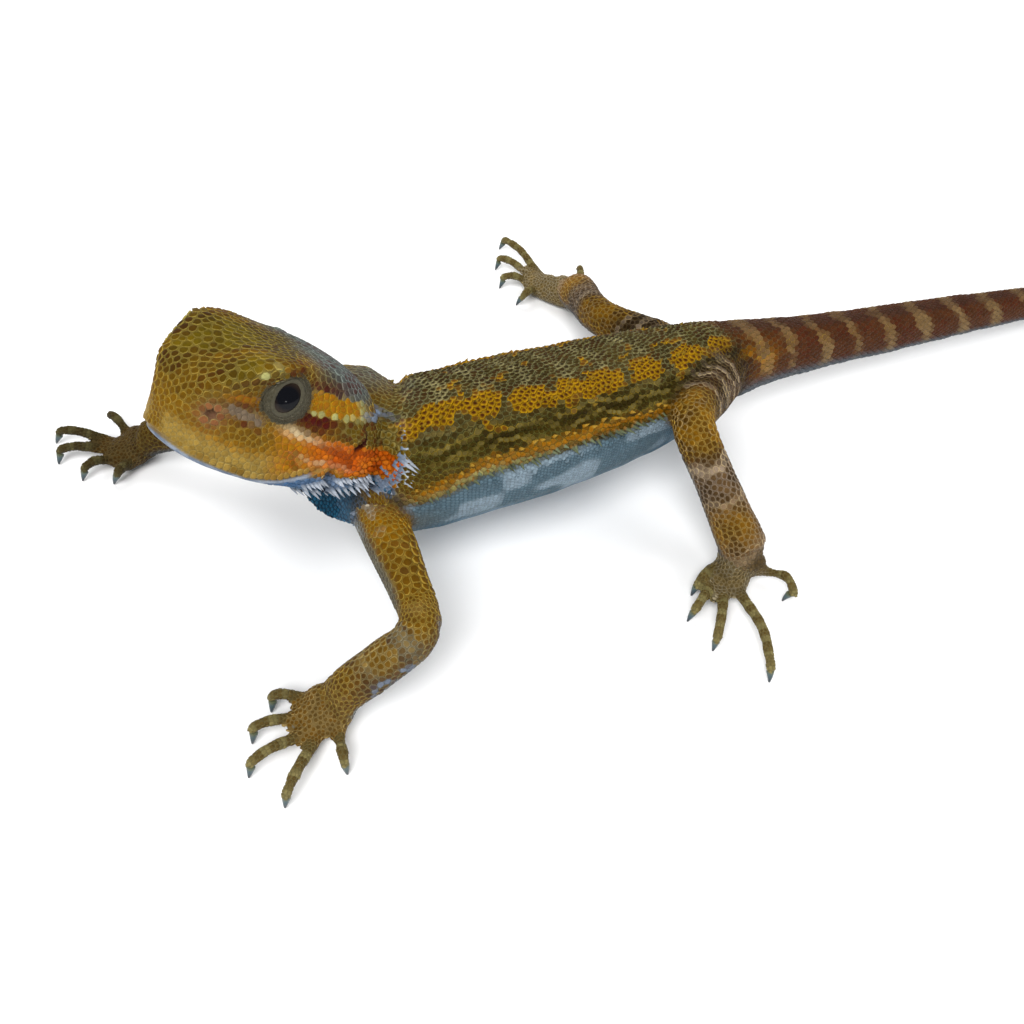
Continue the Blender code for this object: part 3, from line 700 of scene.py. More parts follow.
def startCoat(points, mid, net):
    # two tones over all the points, and the brush that lays further ones over them by a share
    pair = [np.tile(hues[key], (len(points), 1)) for key in (mid, net)]

    def lay(share, mid, net=None):
        pair[:] = blend(pair[0], mid, share), blend(pair[1], net or mid, share)

    return pair, lay


def flecks(points, size, seed, low, high):
    return ease(softNoise(points, size, seed), low, high)


def streakNoise(points, along, size, seed):
    # noise drawn out along a direction
    drawn = points - (points @ along)[:, None] * along * 0.7
    return softNoise(drawn, size, seed)


# spots over the eye: distance from the snout's tip, height, size, tone
browSpots = ((6.7, 7.4, 0.38, "lime"), (9.4, 8.1, 0.45, "maroon"), (10.6, 8.3, 0.45, "maroon"),
             (8.0, 8.2, 0.34, "lime"))
# pale lines along the jowl: start, end, width, strength
jowlLines = ((12.6, -0.95, 16.2, -1.25, 0.2, 0.6), (16.4, -1.5, 19.4, -1.9, 0.15, 0.4),
             (11.0, -0.2, 13.0, -0.6, 0.15, 0.3))


def paintHead(points, head):
    folded = foldedHead(head)
    x, y, z = folded.T
    lip = lipAt(y)
    cloud = softNoise(points, 2.4, 21)
    fine = softNoise(points, 0.8, 22)
    brush = streakNoise(points, headAxes[:, 1], 0.55, 23)
    pair, lay = startCoat(points, "ochre", "ochreNet")
    # the crown grows darker, and the nape greyer
    top = ease(z + 1.2 * (cloud - 0.5), 3.2, 5.6)
    lay(top, "crown", "crownNet")
    lay(top * ease(cloud, 0.5, 0.75) * 0.7, "ochre", "ochreNet")
    moss = flecks(points, 3.4, 24, 0.48, 0.64) * top * fade(y, 9, 13)
    lay(moss * 0.6, "moss", "crownNet")
    streaks = ease(streakNoise(points, headAxes[:, 1], 1.1, 25), 0.56, 0.68) * top
    lay(streaks * 0.5, "rust", "crownNet")
    lay(0.35 * ease(fine, 0.56, 0.76) * top, "rust", "crownNet")
    back = ease(y + 3 * (cloud - 0.5), 12.5, 17.0) * ease(z, 3.8, 5.4)
    lay(back * 0.85, "nape", "napeNet")
    dark = ease(fine, 0.54, 0.66) * back
    lay(dark * 0.5, "maroon", "napeNet")
    # brow: a pale broken line over the eye, with dark red spots under it
    brow = hump(z, 8.35, 0.35) * hump(y, 9.6, 2.2) * ease(x, 4.9, 5.8)
    lay(brow * 0.45, "amber")
    for spotY, spotZ, size, name in browSpots:
        spot = hump(np.hypot(y - spotY, z - spotZ), 0, size) * ease(x, 4.9, 5.7)
        lay(spot * 0.9, name)
    # a burnt line runs from over the nostril to the eye
    burnt = hump(z, 4.55 - 0.05 * (y - 5), 0.5) * hump(y, 6.0, 1.7) * ease(x, 2.5, 4)
    lay(burnt * 0.9, "amber", "orange")
    lay(hump(z, 4.0 - 0.1 * (y - 5), 0.35) * hump(y, 6.6, 1.6) * 0.8, "maroon", "ochre")
    # upper lip: yellow, with a warmer upper edge, turning to orange under the eye
    onLip = ease(lip + 3.1 - z, 0.0, 1.0) * fade(y, 10.5, 14) * ease(x, 0.4, 1.6)
    lay(onLip, "lip", "lipNet")
    warm = hump(z, lip + 2.6, 0.6) * hump(y, 6.0, 4.5)
    lay(warm * 0.5, "amber", "lip")
    low = onLip * hump(z, lip + 0.55, 0.35) * ease(brush, 0.35, 0.7)
    lay(low * 0.7, "ochre", "lip")
    # jowl
    upper = 2.0 - 0.15 * (y - 11.5)
    lower = np.where(y < 13.5, lip, -2.45 - 0.03 * (y - 14))
    jowl = ease(upper - z, -0.15, 0.5) * ease(z, lower - 0.15, lower + 0.4)
    jowl = jowl * ease(y + 0.8 * (brush - 0.5), 8.4, 11.4) * fade(y, 23.3, 23.9)
    lay(jowl, "amber", "orangeNet")
    red = jowl * ease(y + 1.5 * (cloud - 0.5), 12.0, 15.5)
    lay(red, "orange")
    bright = red * ease(brush, 0.5, 0.72)
    lay(bright * 0.5, "orangeNet")
    lay(jowl * ease(-brush, -0.42, -0.3) * 0.45, "rust", "orange")
    high = jowl * hump(z, upper - 0.35, 0.4) * fade(y, 15, 19)
    lay(high * 0.5, "orangeNet", "cream")
    lowest = jowl * hump(z, lower + 0.45, 0.4) * fade(y, 16, 18.5)
    lay(lowest * 0.8, "lip", "lipNet")
    for startY, startZ, endY, endZ, wide, share in jowlLines:
        t = (y - startY) / (endY - startY)
        line = hump(z, startZ + (endZ - startZ) * t + 0.1 * np.sin(y * 3), wide) * hump(t, 0.5, 0.5)
        lay(line * share, "cream")
    # the white streak under the eye
    t = (y - 10.7) / 3.2
    streak = hump(z, 2.2 - 1.1 * t, 0.26 + 0.4 * (1 - np.clip(t, 0, 1))) * hump(t, 0.45, 0.55)
    lay(streak * 1.2, "cream")
    # pink nostril with painted shade in its hole, and the mauve band from it to the eye
    nose = gapTo(folded, "nostril")
    lay(hump(nose, 0, 1.15), "pinkNose", "mauveNet")
    lay(1 - ease(nose, 0.34, 0.5), "noseHole")
    band = hump(z, 3.45 - 0.3 * (y - 4.9), 0.5) * ease(y, 4.3, 5.0) * fade(y, 7.8, 8.6)
    lay(band * 1.3 * ease(x, 2.5, 3.8), "mauve", "mauveNet")
    edge = hump(z, 2.6 - 0.3 * (y - 4.9), 0.26) * hump(y, 6.6, 1.8) * ease(x, 2.5, 3.8)
    lay(edge * 0.8, "maroon", "maroonNet")
    # maroon behind and under the eye
    dark = hump(np.hypot((y - 13.7) / 2.7, (z - 3.0 + 0.1 * (y - 13.7)) / 1.15), 0, 0.95) * 1.5
    lay(dark * (0.55 + 0.6 * brush), "maroon", "maroonNet")
    dark = hump(z, 6.35 - 0.16 * (y - 14), 0.65) * hump(y, 15.2, 3.0) * ease(x, 4.4, 5.6)
    lay(dark * (0.5 + 0.7 * fine), "maroon", "maroonNet")
    # olive side of the head round the ear
    side = ease(y + 0.8 * (fine - 0.5), 15.6, 17.0) * ease(z, upper - 0.1, upper + 0.4)
    side = side * fade(z, 3.2, 4.2)
    lay(side, "olive", "oliveNet")
    lay(side * ease(fine, 0.5, 0.68) * 0.6, "maroon", "olive")
    # the bright stripe behind the eye
    line = 4.65 - 0.13 * (y - 14.5)
    long = ease(y, 12.3, 13.0) * fade(y, 18.4, 20.4)
    half = 1.08 - 0.05 * (y - 13)
    stripe = ease(half - np.abs(z - line), -0.25, 0.2) * long
    lay(stripe, "lime", "goldNet")
    core = ease(half - 0.16 - np.abs(z - line - 0.14), -0.2, 0.1) * long * fade(y, 17.8, 19.2)
    lay(core * 1.3, "gold", "goldNet")
    tail = hump(z, line - 0.35, 0.26) * ease(y, 18.2, 19.8)
    lay(tail * 0.9, "paleBlue")
    # lids
    lay(fade(gapTo(folded, "eyeCentre"), 2.62, 2.85), "lidGrey", "lidPale")
    # lower jaw, chin and throat
    under = ease(lip - z, 0.0, 0.25) * fade(y, 13.2, 14.2)
    border = -2.55 - 0.02 * (y - 14)
    under = np.maximum(under, ease(border - z, 0.0, 0.5) * ease(y, 12.5, 14))
    lay(under, "paleBlue")
    lay(under * hump(z, lip - 0.35, 0.3) * ease(brush, 0.35, 0.6) * 0.6, "white")
    blue = under * ease(lip - z + 0.8 * (cloud - 0.5), 0.25, 1.0) * (1 - ease(y, 12, 17) * 0.6)
    lay(blue, "jawBlue")
    deep = ease(-z + 0.6 * (cloud - 0.5), 3.9, 5.0)
    lay(deep, "deepBlue")
    dots = deep * flecks(points, 1.3, 31, 0.48, 0.54)
    lay(dots, "night")
    lay(deep * flecks(points, 1.1, 32, 0.53, 0.6) * 0.8, "paleBlue")
    tip = fade(y, 0.6, 2.2) * ease(lip - z, -0.4, 0.2)
    lay(tip * 0.5, "jawBlue")
    # painted shade under the rear of the jaw
    shade = ease(-z, 2.9, 3.6) * ease(y, 18, 20.5)
    lay(shade * 0.8, "deepBlue", "night")
    # the jowl's rear edge carries the beard, and is darkened towards night under its spikes as painted
    # shade
    edge = ease(y, 23.3, 23.8) * fade(z, 1.8, 2.8) * ease(x, 7, 9)
    lay(edge * 0.6, "night", "jawBlue")
    # the ear's slit, painted dark as the shade in its hole
    slit, length = earAxes(folded - np.array(skinShape["ear"]))
    ear = ease(1 - np.hypot(slit / 0.6, length / 1.45), 0.0, 0.3)
    lay(ear, "noseHole")
    return pair


# the edge between flank and belly, which carries the fringe: places along the back, and degrees
# from its crest
flankEdge = ((8, 10.3, 15.8, 23.3, 31.4, 38.7, 50), (95, 92, 80, 76, 74, 75, 77))


def fringeAngle(place):
    return np.interp(place, *flankEdge)


# the bright patches: place along the back, degrees from its crest
patches = ((7.6, 47), (13.2, 34), (17.8, 33), (23.2, 37), (28.2, 39), (33.6, 37), (39.9, 35),
           (46.5, 34), (53.0, 32))
tailBands = {"start": 55.0, "first": 4.6, "spread": 21.2, "step": 0.5}  # they widen towards the tip


def paintBody(points, place, angle):
    a = np.abs(angle)
    cloud = softNoise(points, 3.0, 41)
    fine = softNoise(points, 1.05, 42)
    pair, lay = startCoat(points, "back", "backNet")
    lay(ease(fine, 0.45, 0.65) * 0.4, "flank", "flankNet")
    lay(ease(cloud, 0.5, 0.66) * 0.5, "backDark", "backNet")
    lay(flecks(points, 1.4, 44, 0.5, 0.62) * 0.35, "rust", "backNet")
    lay(barShare(points, place, angle) * 0.9, "backDark", "barNet")
    # flanks
    low = ease(a + 14 * (cloud - 0.5), 46, 60)
    lay(low, "flank", "flankNet")
    lay(low * ease(cloud, 0.5, 0.7) * 0.5, "backDark", "flank")
    # lengthwise folds painted on the flanks: paler lines, and painted shade in the creases between them
    wave = np.sin(np.radians(a * 44 + 620 * (softNoise(points, 4.0, 50) - 0.5)) + place * 0.16)
    fold = hump(a, 61, 13) * ease(place, 8, 13) * fade(place, 46, 52)
    fold = fold * (0.4 + 0.9 * softNoise(points, 1.6, 51))
    lay(fold * ease(wave, 0.2, 0.9) * 0.5, "oliveNet", "patchNet")
    lay(fold * ease(-wave, 0.3, 0.9) * 0.5, "backDark")
    patch = patchShare(points, place, angle)
    brown = flecks(points, 1.5, 46, 0.42, 0.56)
    border = patch * (1 - patch) * 4
    lay(patch, "patch", "patchNet")
    lay(0.8 * patch * brown * (1 - 0.6 * border), "rust", "patchNet")
    lay(0.2 * border, "gold", "goldNet")
    # shoulders
    shoulder = hump(place, 9.5, 4.5) * hump(a, 96, 16)
    lay(shoulder * 0.8, "arm", "armNet")
    # the bright line along the fringe
    rim = fringeAngle(place)
    line = hump(a + 4 * (fine - 0.5), rim - 2.0, 3.1) * ease(place, 8, 12) * fade(place, 46, 52)
    lay(line * 1.2, "fringe", "fringeNet")
    pale = hump(a, rim + 2.5, 2.2) * hump(place, 17, 7)
    lay(pale * 0.6, "lime", "cream")
    # belly, paler in blotches, and bluer below as painted shade
    under = ease(a, rim + 4, rim + 9)
    lay(under, "belly", "bellyNet")
    blotch = ease(softNoise(points * np.array((1, 0.5, 1)), 2.2, 47), 0.44, 0.6)
    lay(under * blotch * 0.8, "bellyPale")
    blue = under * ease(a + 8 * (cloud - 0.5), 116, 140)
    lay(blue * 0.6, "bellyBlue")
    # painted shade on the belly from before the hind legs to the vent
    groinShade = under * ease(place, 38, 44)
    lay(groinShade * 0.6, "deepBlue", "night")
    # throat and chest behind the head
    throat = fade(place + 2.2 * (cloud - 0.5), 5, 9.5) * ease(a, 84, 104)
    lay(throat, "deepBlue")
    lay(throat * flecks(points, 1.3, 48, 0.47, 0.54), "night")
    light = throat * flecks(points, 1.2, 49, 0.53, 0.6)
    lay(light * 0.85, "paleBlue")
    chest = hump(place, 8.5, 3.0) * ease(a, 100, 116)
    lay(chest * 0.6, "granule", "granuleNet")
    # tail: dark and pale bands, wider towards the tip, dark on top and bluish below
    t = np.maximum(place - tailBands["start"], 0)
    beat = (np.sqrt(tailBands["spread"] + t) - tailBands["first"]) / tailBands["step"]
    beat = beat - 0.004 * (a - 40) + 0.12 * (fine - 0.5)
    uneven = 0.9 + 0.9 * fade(place, 62, 84)
    broken = 0.6 + 0.8 * fade(place, 62, 84)
    band = ease(np.cos(beat * 2 * np.pi) + uneven * (cloud - 0.5) + broken * (fine - 0.5), 0.3, 1.0)
    tail = ease(place + 2 * (cloud - 0.5), 53, 58)
    lay(tail, "tailDark", "tailDarkNet")
    lay(tail * fade(place, 58, 68) * 0.5, "patch", "tailPaleNet")
    lay(tail * ease(fine, 0.5, 0.66) * 0.3, "maroon", "tailDarkNet")
    lay(tail * fade(a, 10, 30) * 0.55, "tailTop")
    lay(tail * band * (0.4 + 0.4 * ease(a, 10, 40)), "tailPale", "tailPaleNet")
    glow = tail * band * hump(a, 48, 16) * fade(place, 75, 100)
    lay(glow * 0.45, "patch", "patchNet")
    base = hump(place, 56.5, 5.0) * hump(a, 66, 24)
    lay(base * ease(fine, 0.4, 0.6), "gold", "patchNet")
    below = tail * ease(a, 96, 126)
    lay(below * 0.85, "tailUnder", "bellyNet")
    return pair


# pale bars across the legs: share of the way to the ankle, half width, strength
legBars = ((0.14, 0.012, 0.7), (0.21, 0.012, 0.8), (0.28, 0.012, 0.8), (0.36, 0.012, 0.6),
           (0.645, 0.016, 1.0), (0.76, 0.012, 0.8), (0.97, 0.014, 0.7))
# painted shade on the far side: the right arm and hand are darker all over, and the right leg down to
# its shank
farSidePaintedShade = {"arm": 0.42, "leg": 0.8, "hand": (0.45, 0.48)}


def paintLimb(points, tube, place, angle):
    share = place / tube["wrist"]
    front = tube["name"].startswith("arm")
    left = tube["name"].endswith("Left")
    ahead = angle if left else -angle  # towards the head
    cloud = softNoise(points, 2.2, 61)
    fine = softNoise(points, 0.9, 62)
    below = ease(np.abs(angle), 100, 130)
    if front:
        pair, lay = startCoat(points, "arm", "armNet")
        lay(hump(share, 0.16, 0.12) * 0.5, "amber", "armNet")
        inner = ease(ahead + 20 * (cloud - 0.5), 42, 74) * fade(share, 0.46, 0.56)
        lay(inner, "granule", "granuleNet")
        lay(inner * fade(share, 0.05, 0.13) * 0.7, "night", "jawBlue")
        lower = ease(share + 0.08 * (cloud - 0.5), 0.54, 0.62)
        lay(lower, "forearm", "forearmNet")
        lay(lower * ease(cloud, 0.47, 0.58) * 0.75, "armDark", "granuleNet")
        pale = hump((share * 6.5 + 0.5 * cloud) % 1.0, 0.5, 0.16) * ease(share, 0.5, 0.6)
        lay(pale * 0.4, "forearmNet", "granuleNet")
        wrist = hump(share, 0.94, 0.12)
        lay(wrist * 0.8, "arm", "armNet")
        rear = ease(-ahead + 16 * (cloud - 0.5), 40, 74) * hump(share, 0.74, 0.2)
        lay(rear * 0.6, "armDark", "granule")
        white = rear * flecks(points, 1.3, 63, 0.56, 0.66)
        lay(white * 0.7, "paleBlue")
        root = hump(share, 0.1, 0.12) * ease(ahead + 30 * (fine - 0.5), 10, 34)
        lay(root * ease(fine, 0.4, 0.62) * 0.4, "granuleNet", "white")
        lay(below * 0.7, "belly", "bellyPale")
    else:
        pair, lay = startCoat(points, "thigh", "thighNet")
        lay(ease(cloud, 0.45, 0.65) * 0.6, "tailDark", "thighNet")
        if not left:
            gold = ease(cloud + 0.4 * fine, 0.6, 0.85) * fade(share, 0.75, 0.9)
            lay(gold * 0.65, "patch", "patchNet")
        knee = hump(share + 0.06 * (cloud - 0.5), 0.51, 0.1)
        lay(knee * 1.3, "knee", "kneeNet")
        lay(ease(fine, 0.5, 0.68) * 0.35, "thigh", "shankNet")
        lower = ease(share, 0.58, 0.66)
        lay(lower, "shank", "shankNet")
        lay(lower * ease(fine, 0.5, 0.7) * 0.4, "thigh", "shankNet")
        bars = np.zeros(len(points))
        for at, wide, strength in legBars:
            bars = np.maximum(bars, strength * hump(share + 0.07 * (cloud - 0.5), at, wide))
        lay(bars * 0.75, "shankNet", "cream")
        patch = hump(share, 0.87, 0.08) * ease(ahead, -60, 20)
        lay(patch * 0.9, "knee", "kneeNet")
        rear = ease(-ahead, 50, 80) * ease(share, 0.5, 0.6)
        lay(rear * 0.6, "armDark", "shankNet")
        ankle = ease(share, 0.95, 1.0)
        lay(ankle, "ankle", "thighNet")
        lay(below * 0.6, "bellyNet", "belly")
    mottle = flecks(points, 1.5, 64, 0.5, 0.64)
    pair[0] = blend(pair[0], "armDark" if front else "thigh", mottle * (0.3 if front else 0.5))
    hand = ease(share, 1.0, 1.08)
    palm = ("hand", "handNet") if front else ("foot", "footNet")
    lay(hand * 0.95, *palm)
    lay(hand * ease(fine, 0.5, 0.66) * 0.5, "digitDark", "handNet")
    lay(hand * below, "sole")
    if left:
        return pair
    # painted shade on the far side's limbs
    dim = farSidePaintedShade["arm"] if front else farSidePaintedShade["leg"] + 0.5 * ease(share, 0.75, 0.95)[:, None]
    return [tones * dim for tones in pair]


def paintDigit(points, tube, place, angle):
    t = (place - tube["knuckle"]) / (tube["total"] - tube["knuckle"])
    palm = ("hand", "handNet") if tube["name"].startswith("arm") else ("foot", "footNet")
    pair, lay = startCoat(points, *palm)
    lay(ease(t, -0.1, 0.1), "digitDark", "digitNet")
    count = max(2.0, round((tube["total"] - tube["knuckle"]) / 1.9))
    noise = softNoise(points, 0.8, 71)
    band = ease(np.cos((t * count + 0.1) * 2 * np.pi) + 1.2 * (noise - 0.5), 0.0, 0.8)
    band = band * ease(t, 0.0, 0.15)
    lay(band * 0.75, "digitPale")
    lay(ease(t, 0.72, 0.95) * 0.5, "digitPale", "digitNet")
    under = ease(np.abs(angle), 105, 140)
    lay(under * 0.8, "sole")
    # painted shade on the far side's hand
    if tube["name"].startswith("armRight"):
        return [tones * dim for tones, dim in zip(pair, farSidePaintedShade["hand"])]
    return pair


def patchShare(points, place, angle):
    # the row of bright patches along each side of the back
    a, right = np.abs(angle), angle < 0
    patch = np.where(a < np.where(right, 78, 58), -0.09, -1.0)
    rough = softNoise(points, 1.7, 45) + 0.6 * softNoise(points, 0.6, 43)
    for spot, high in patches:
        off = a - (high + np.where(right, 22, 0))
        reach = np.hypot(((place - spot) + 0.06 * off) / 2.9, off / 14)
        patch = np.maximum(patch, 1.16 - reach - 0.4 * ease(np.abs(off), 12, 19))
    patch = ease(patch + 0.7 * (rough - 0.8), 0.10, 0.26)
    return patch * ease(place, 4, 6.5) * fade(place, 55, 58)


def barShare(points, place, angle):
    # pale bars from the patches up to the middle of the back
    bar = np.zeros(len(points))
    a = np.abs(angle)
    rough = softNoise(points, 1.05, 42) + 0.25 * softNoise(points, 3.0, 41)
    for spot, high in patches:
        lean = (place - spot) - 0.05 * (high - a)
        bar = np.maximum(bar, hump(lean, 0.3, 1.0) * fade(a, high - 4, high + 4))
    return bar * ease(rough, 0.42, 0.6) * ease(place, 3, 7) * fade(place, 54, 57)


def netWidth(points, places, owner):
    # 0 where the net is a thin line, 1 where it is a broad band
    wide = np.zeros(len(points))
    place, angle, _ = places[0]
    body = (owner == 0) & (np.abs(angle) < fringeAngle(place)) & (place < pose["vent"])
    here = points[body], place[body], angle[body]
    wide[body] = 0.4 + 0.6 * np.maximum(patchShare(*here), barShare(*here))
    for index in limbTubes:
        tube, mine = tubes[index], owner == index
        share = places[index][0][mine] / tube["wrist"]
        front = tube["name"].startswith("arm")
        wide[mine] = 0.15 + 0.45 * ease(share, 0.4, 0.6) if front else 0.5
    return wide


# its shade is painted shade, laid where a limb meets the body
meeting = {"sharpness": 14, "least": 0.03, "shade": 0.42}  # where two parts of the hide meet


def paint(points):
    # the colours of the scales' middles and of the net, evened where two parts meet, with painted shade
    # where a limb meets the body
    places, out, _ = locate(points)
    weights = np.exp(-meeting["sharpness"] * (out - out.min(0)))
    weights[weights < meeting["least"]] = 0
    weights /= weights.sum(0)
    head = toHead(points)
    overNeck = fade(head[:, 1], 23.3, 23.8) * fade(np.abs(head[:, 0]), 11.7, 12.3)
    overNeck = overNeck * (places[0][0] < 10) * weights[0]
    weights[1] += overNeck
    weights[0] -= overNeck
    mid, net = np.zeros((len(points), 3)), np.zeros((len(points), 3))
    for index, tube in enumerate(tubes):
        mine = weights[index] > 0
        if not mine.any():
            continue
        here = points[mine]
        place, angle, _ = (v[mine] for v in places[index])
        if tube["name"] == "body":
            found = paintBody(here, place, angle)
        elif tube["name"] == "head":
            found = paintHead(here, toHead(here))
        elif "wrist" in tube:
            found = paintLimb(here, tube, place, angle)
        else:
            found = paintDigit(here, tube, place, angle)
        mid[mine] += found[0] * weights[index][mine, None]
        net[mine] += found[1] * weights[index][mine, None]
    # painted shade where a limb meets the body
    limbShare = weights[limbTubes].sum(0)
    dim = 1 - meeting["shade"] * np.clip(4 * weights[0] * limbShare, 0, 1)[:, None]
    return mid * dim, net * dim


# from scale to scale, in millimetres
pitches = {
    "neck": 0.56, "back": 0.74, "flank": 0.62, "belly": 0.42, "tail": (0.80, 0.56),
    "upperArm": 0.96, "inner": 0.5, "forearm": 0.70, "hand": 0.50, "leg": 0.68, "foot": 0.50,
    "digit": 0.42,
}


def headSpacing(head):
    folded = foldedHead(head)
    x, y, z = folded.T
    lip = lipAt(y)
    size = 0.92 - 0.2 * ease(y, 7, 14) * ease(z, 2, 4)
    size = size - 0.22 * fade(y, 1.5, 5)
    size = size - 0.26 * ease(2.6 + lip * 0.5 - z, -0.5, 0.5) * fade(y, 9, 14)
    size = size - 0.34 * ease(y, 9, 14) * fade(z, 1, 3) * ease(z, -5, -3)
    size = np.where(z < lip - 0.3, np.minimum(size, 0.5), size)
    size = size - 0.4 * hump(np.hypot(y - 5.6, z - 3.0), 0, 2.2) * ease(x, 2, 3)
    eye = gapTo(folded, "eyeCentre")
    size = np.where(eye < 4.0, np.minimum(size, 0.3 + 0.42 * ease(eye, 2.6, 4.0)), size)
    return np.where(gapTo(folded, "ear") < 2.4, np.minimum(size, 0.46), size)


def tailPitch(t):
    return pitches["tail"][0] * (1 - t) + pitches["tail"][1] * t


def bodySpacing(place, angle):
    a = np.abs(angle)
    size = pitches["back"] + (pitches["flank"] - pitches["back"]) * ease(a, 50, 66)
    size = size + (pitches["belly"] - size) * ease(a - fringeAngle(place), 3, 8)
    size = size + (pitches["neck"] - size) * fade(place, 3, 8)
    tail = tailPitch(np.clip((place - pose["vent"]) / 120, 0, 1))
    return size + (tail - size) * ease(place, 50, 57)


def limbSpacing(tube, place, angle):
    share = place / tube["wrist"]
    if tube["name"].startswith("leg"):
        size = np.full(len(place), pitches["leg"])
        return size + (pitches["foot"] - size) * ease(share, 0.9, 1.0)
    ahead = angle if tube["name"].endswith("Left") else -angle
    size = np.where(share < 0.5, pitches["upperArm"], pitches["forearm"])
    size = size - 0.3 * hump(share, 0.52, 0.06)
    inner = ease(ahead, 45, 70) * fade(share, 0.46, 0.56)
    inner = np.maximum(inner, ease(np.abs(angle), 110, 130))
    size = size + (pitches["inner"] - size) * inner
    size = size + (pitches["inner"] - size) * fade(place, 4.5, 7.5)
    return size + (pitches["hand"] - size) * ease(share, 0.84, 1.0)


def scaleSpacing(points):
    # the distance from scale to scale everywhere on the hide
    places, _, owner = locate(points)
    size = np.full(len(points), pitches["digit"])
    for index in (0, 1, *limbTubes):
        mine = owner == index
        place, angle, _ = (v[mine] for v in places[index])
        if index == 0:
            size[mine] = bodySpacing(place, angle)
        elif index == 1:
            size[mine] = headSpacing(toHead(points[mine]))
        else:
            size[mine] = limbSpacing(tubes[index], place, angle)
    return size


# how roots are thrown and evened; the distances are shares of the spacing there
strewing = {
    "head": (30000, 6), "back": (40000, 4), "limbs": (60000, 5),  # places thrown, rounds of evening
    "bare": 160000,
    "thrownApart": 0.86, "rowsApart": 0.52, "fromRows": 0.72, "bareApart": 0.8,
    "rowJitter": 0.02,
    "room": 1.05, "push": 0.28,  # in the evening
}


def castOut(centre, ways, reach=14.0):
    # where rays from a centre meet the skin: place, or None, and face
    hits = []
    for way in ways:
        place, _, face, _ = skinTree.ray_cast(Vector(centre), Vector(way), reach)
        hits.append((tuple(place), face) if place is not None else (None, -1))
    return hits


def rowRoots(tube, at, pitch, shift):
    # roots evenly round one row of a tube
    i = np.interp(at, tube["places"], np.arange(len(tube["places"])))
    low, part = int(i), i - int(i)
    high = min(low + 1, len(tube["places"]) - 1)
    centre = tube["line"][low] * (1 - part) + tube["line"][high] * part
    side, top = tube["side"][low], tube["top"][low]
    turn = np.linspace(0, 2 * np.pi, 33)
    ways = np.cos(turn)[:, None] * top + np.sin(turn)[:, None] * side
    usual = tube["width"][low]
    spots = np.array([hit[0] if hit[0] is not None else centre + way * usual
                      for hit, way in zip(castOut(centre, ways), ways)])
    reach = np.minimum(np.linalg.norm(spots - centre, axis=1), usual * 1.6)
    run = runOf(centre + ways * reach[:, None])
    count = max(6, round(run[-1] / pitch))
    angles = np.interp((np.arange(count) + shift) / count * run[-1], run, turn)
    ways = np.cos(angles)[:, None] * top + np.sin(angles)[:, None] * side
    return [hit[0] for hit in castOut(centre, ways) if hit[0] is not None]


def tubeRoots(index, pitchAt, start, end):
    # rows of roots along a tube, each set half a scale on from the one before
    tube = tubes[index]
    found, at, odd = [], start, 0
    while at < end:
        step, wide = pitchAt(at)
        found += rowRoots(tube, at, wide, 0.5 * odd)
        at += step
        odd = 1 - odd
    points = np.array(found)
    points, faces = onHide(points + rng.normal(size=points.shape) * strewing["rowJitter"])
    mine = locate(points)[2] == index
    return points[mine], faces[mine]


def onHide(points):
    # the nearest places on the skin, and the faces that they lie on
    found, faces = np.empty_like(points), np.empty(len(points), int)
    for i, p in enumerate(points):
        found[i], _, faces[i], _ = skinTree.find_nearest(Vector(p))
    return found, faces


def treeOf(points):
    tree = KDTree(len(points))
    for i, p in enumerate(points):
        tree.insert(p, i)
    tree.balance()
    return tree


def throwRoots(choice, count):
    # places thrown evenly over the chosen triangles of the skin
    c = skinPoints[triangles[choice]]
    area = np.linalg.norm(np.cross(c[:, 1] - c[:, 0], c[:, 2] - c[:, 0]), axis=1)
    picked = rng.choice(choice, count, p=area / area.sum())
    u, v = rng.random((2, count, 1))
    u, v = np.where(u + v > 1, 1 - u, u), np.where(u + v > 1, 1 - v, v)
    c = skinPoints[triangles[picked]]
    return c[:, 0] + u * (c[:, 1] - c[:, 0]) + v * (c[:, 2] - c[:, 0]), picked


def thin(points, size, first=()):
    # keeps the points that crowd neither the first ones nor each other
    grid = {}
    for p in first:
        grid.setdefault(tuple(np.floor(p).astype(int)), []).append(p)
    kept = []
    for i, p in enumerate(points):
        cell = tuple(np.floor(p).astype(int))
        close = [q for off in itertools.product((-1, 0, 1), repeat=3)
                 for q in grid.get((cell[0] + off[0], cell[1] + off[1], cell[2] + off[2]), ())]
        if close and np.min(((np.array(close) - p) ** 2).sum(1)) < size[i] ** 2:
            continue
        grid.setdefault(cell, []).append(p)
        kept.append(i)
    return np.array(kept, int)


def spread(points, fixed, rounds):
    # pushes each point away from its nearest neighbours and lays it back on the skin
    for _ in range(rounds):
        tree = treeOf(points)
        size = scaleSpacing(points) * strewing["room"]
        moved = points.copy()
        for i in range(fixed, len(points)):
            p = points[i]
            for q, _, d in tree.find_n(p, 7)[1:]:
                if d < size[i]:
                    away = (p - np.array(q)) / max(d, 1e-6)
                    moved[i] = moved[i] + away * (size[i] - d) * strewing["push"]
        points, faces = onHide(moved)
    return points, faces


def strewRoots(chosen, part, first=np.zeros((0, 3)), clear=None):
    # scales of many sizes, thrown so that none crowds its neighbours, then evened
    count, rounds = strewing[part]
    thrown, _ = throwRoots(np.where(chosen)[0], count)
    if clear is not None:
        thrown = thrown[clear(toHead(thrown))]
    kept = thin(thrown, scaleSpacing(thrown) * strewing["thrownApart"], first)
    return spread(np.concatenate([first, thrown[kept]]), len(first), rounds)


# the parts of the face without scales, in millimetres; the eye's edge as a share of its opening
bareFace = {
    "lips": 0.7, "lipsSunk": 0.1, "lipsEnd": 15.2, "eye": 3.0, "eyeEdge": 1.3,
    "nostril": 0.92, "ear": (0.5, 1.35),
}


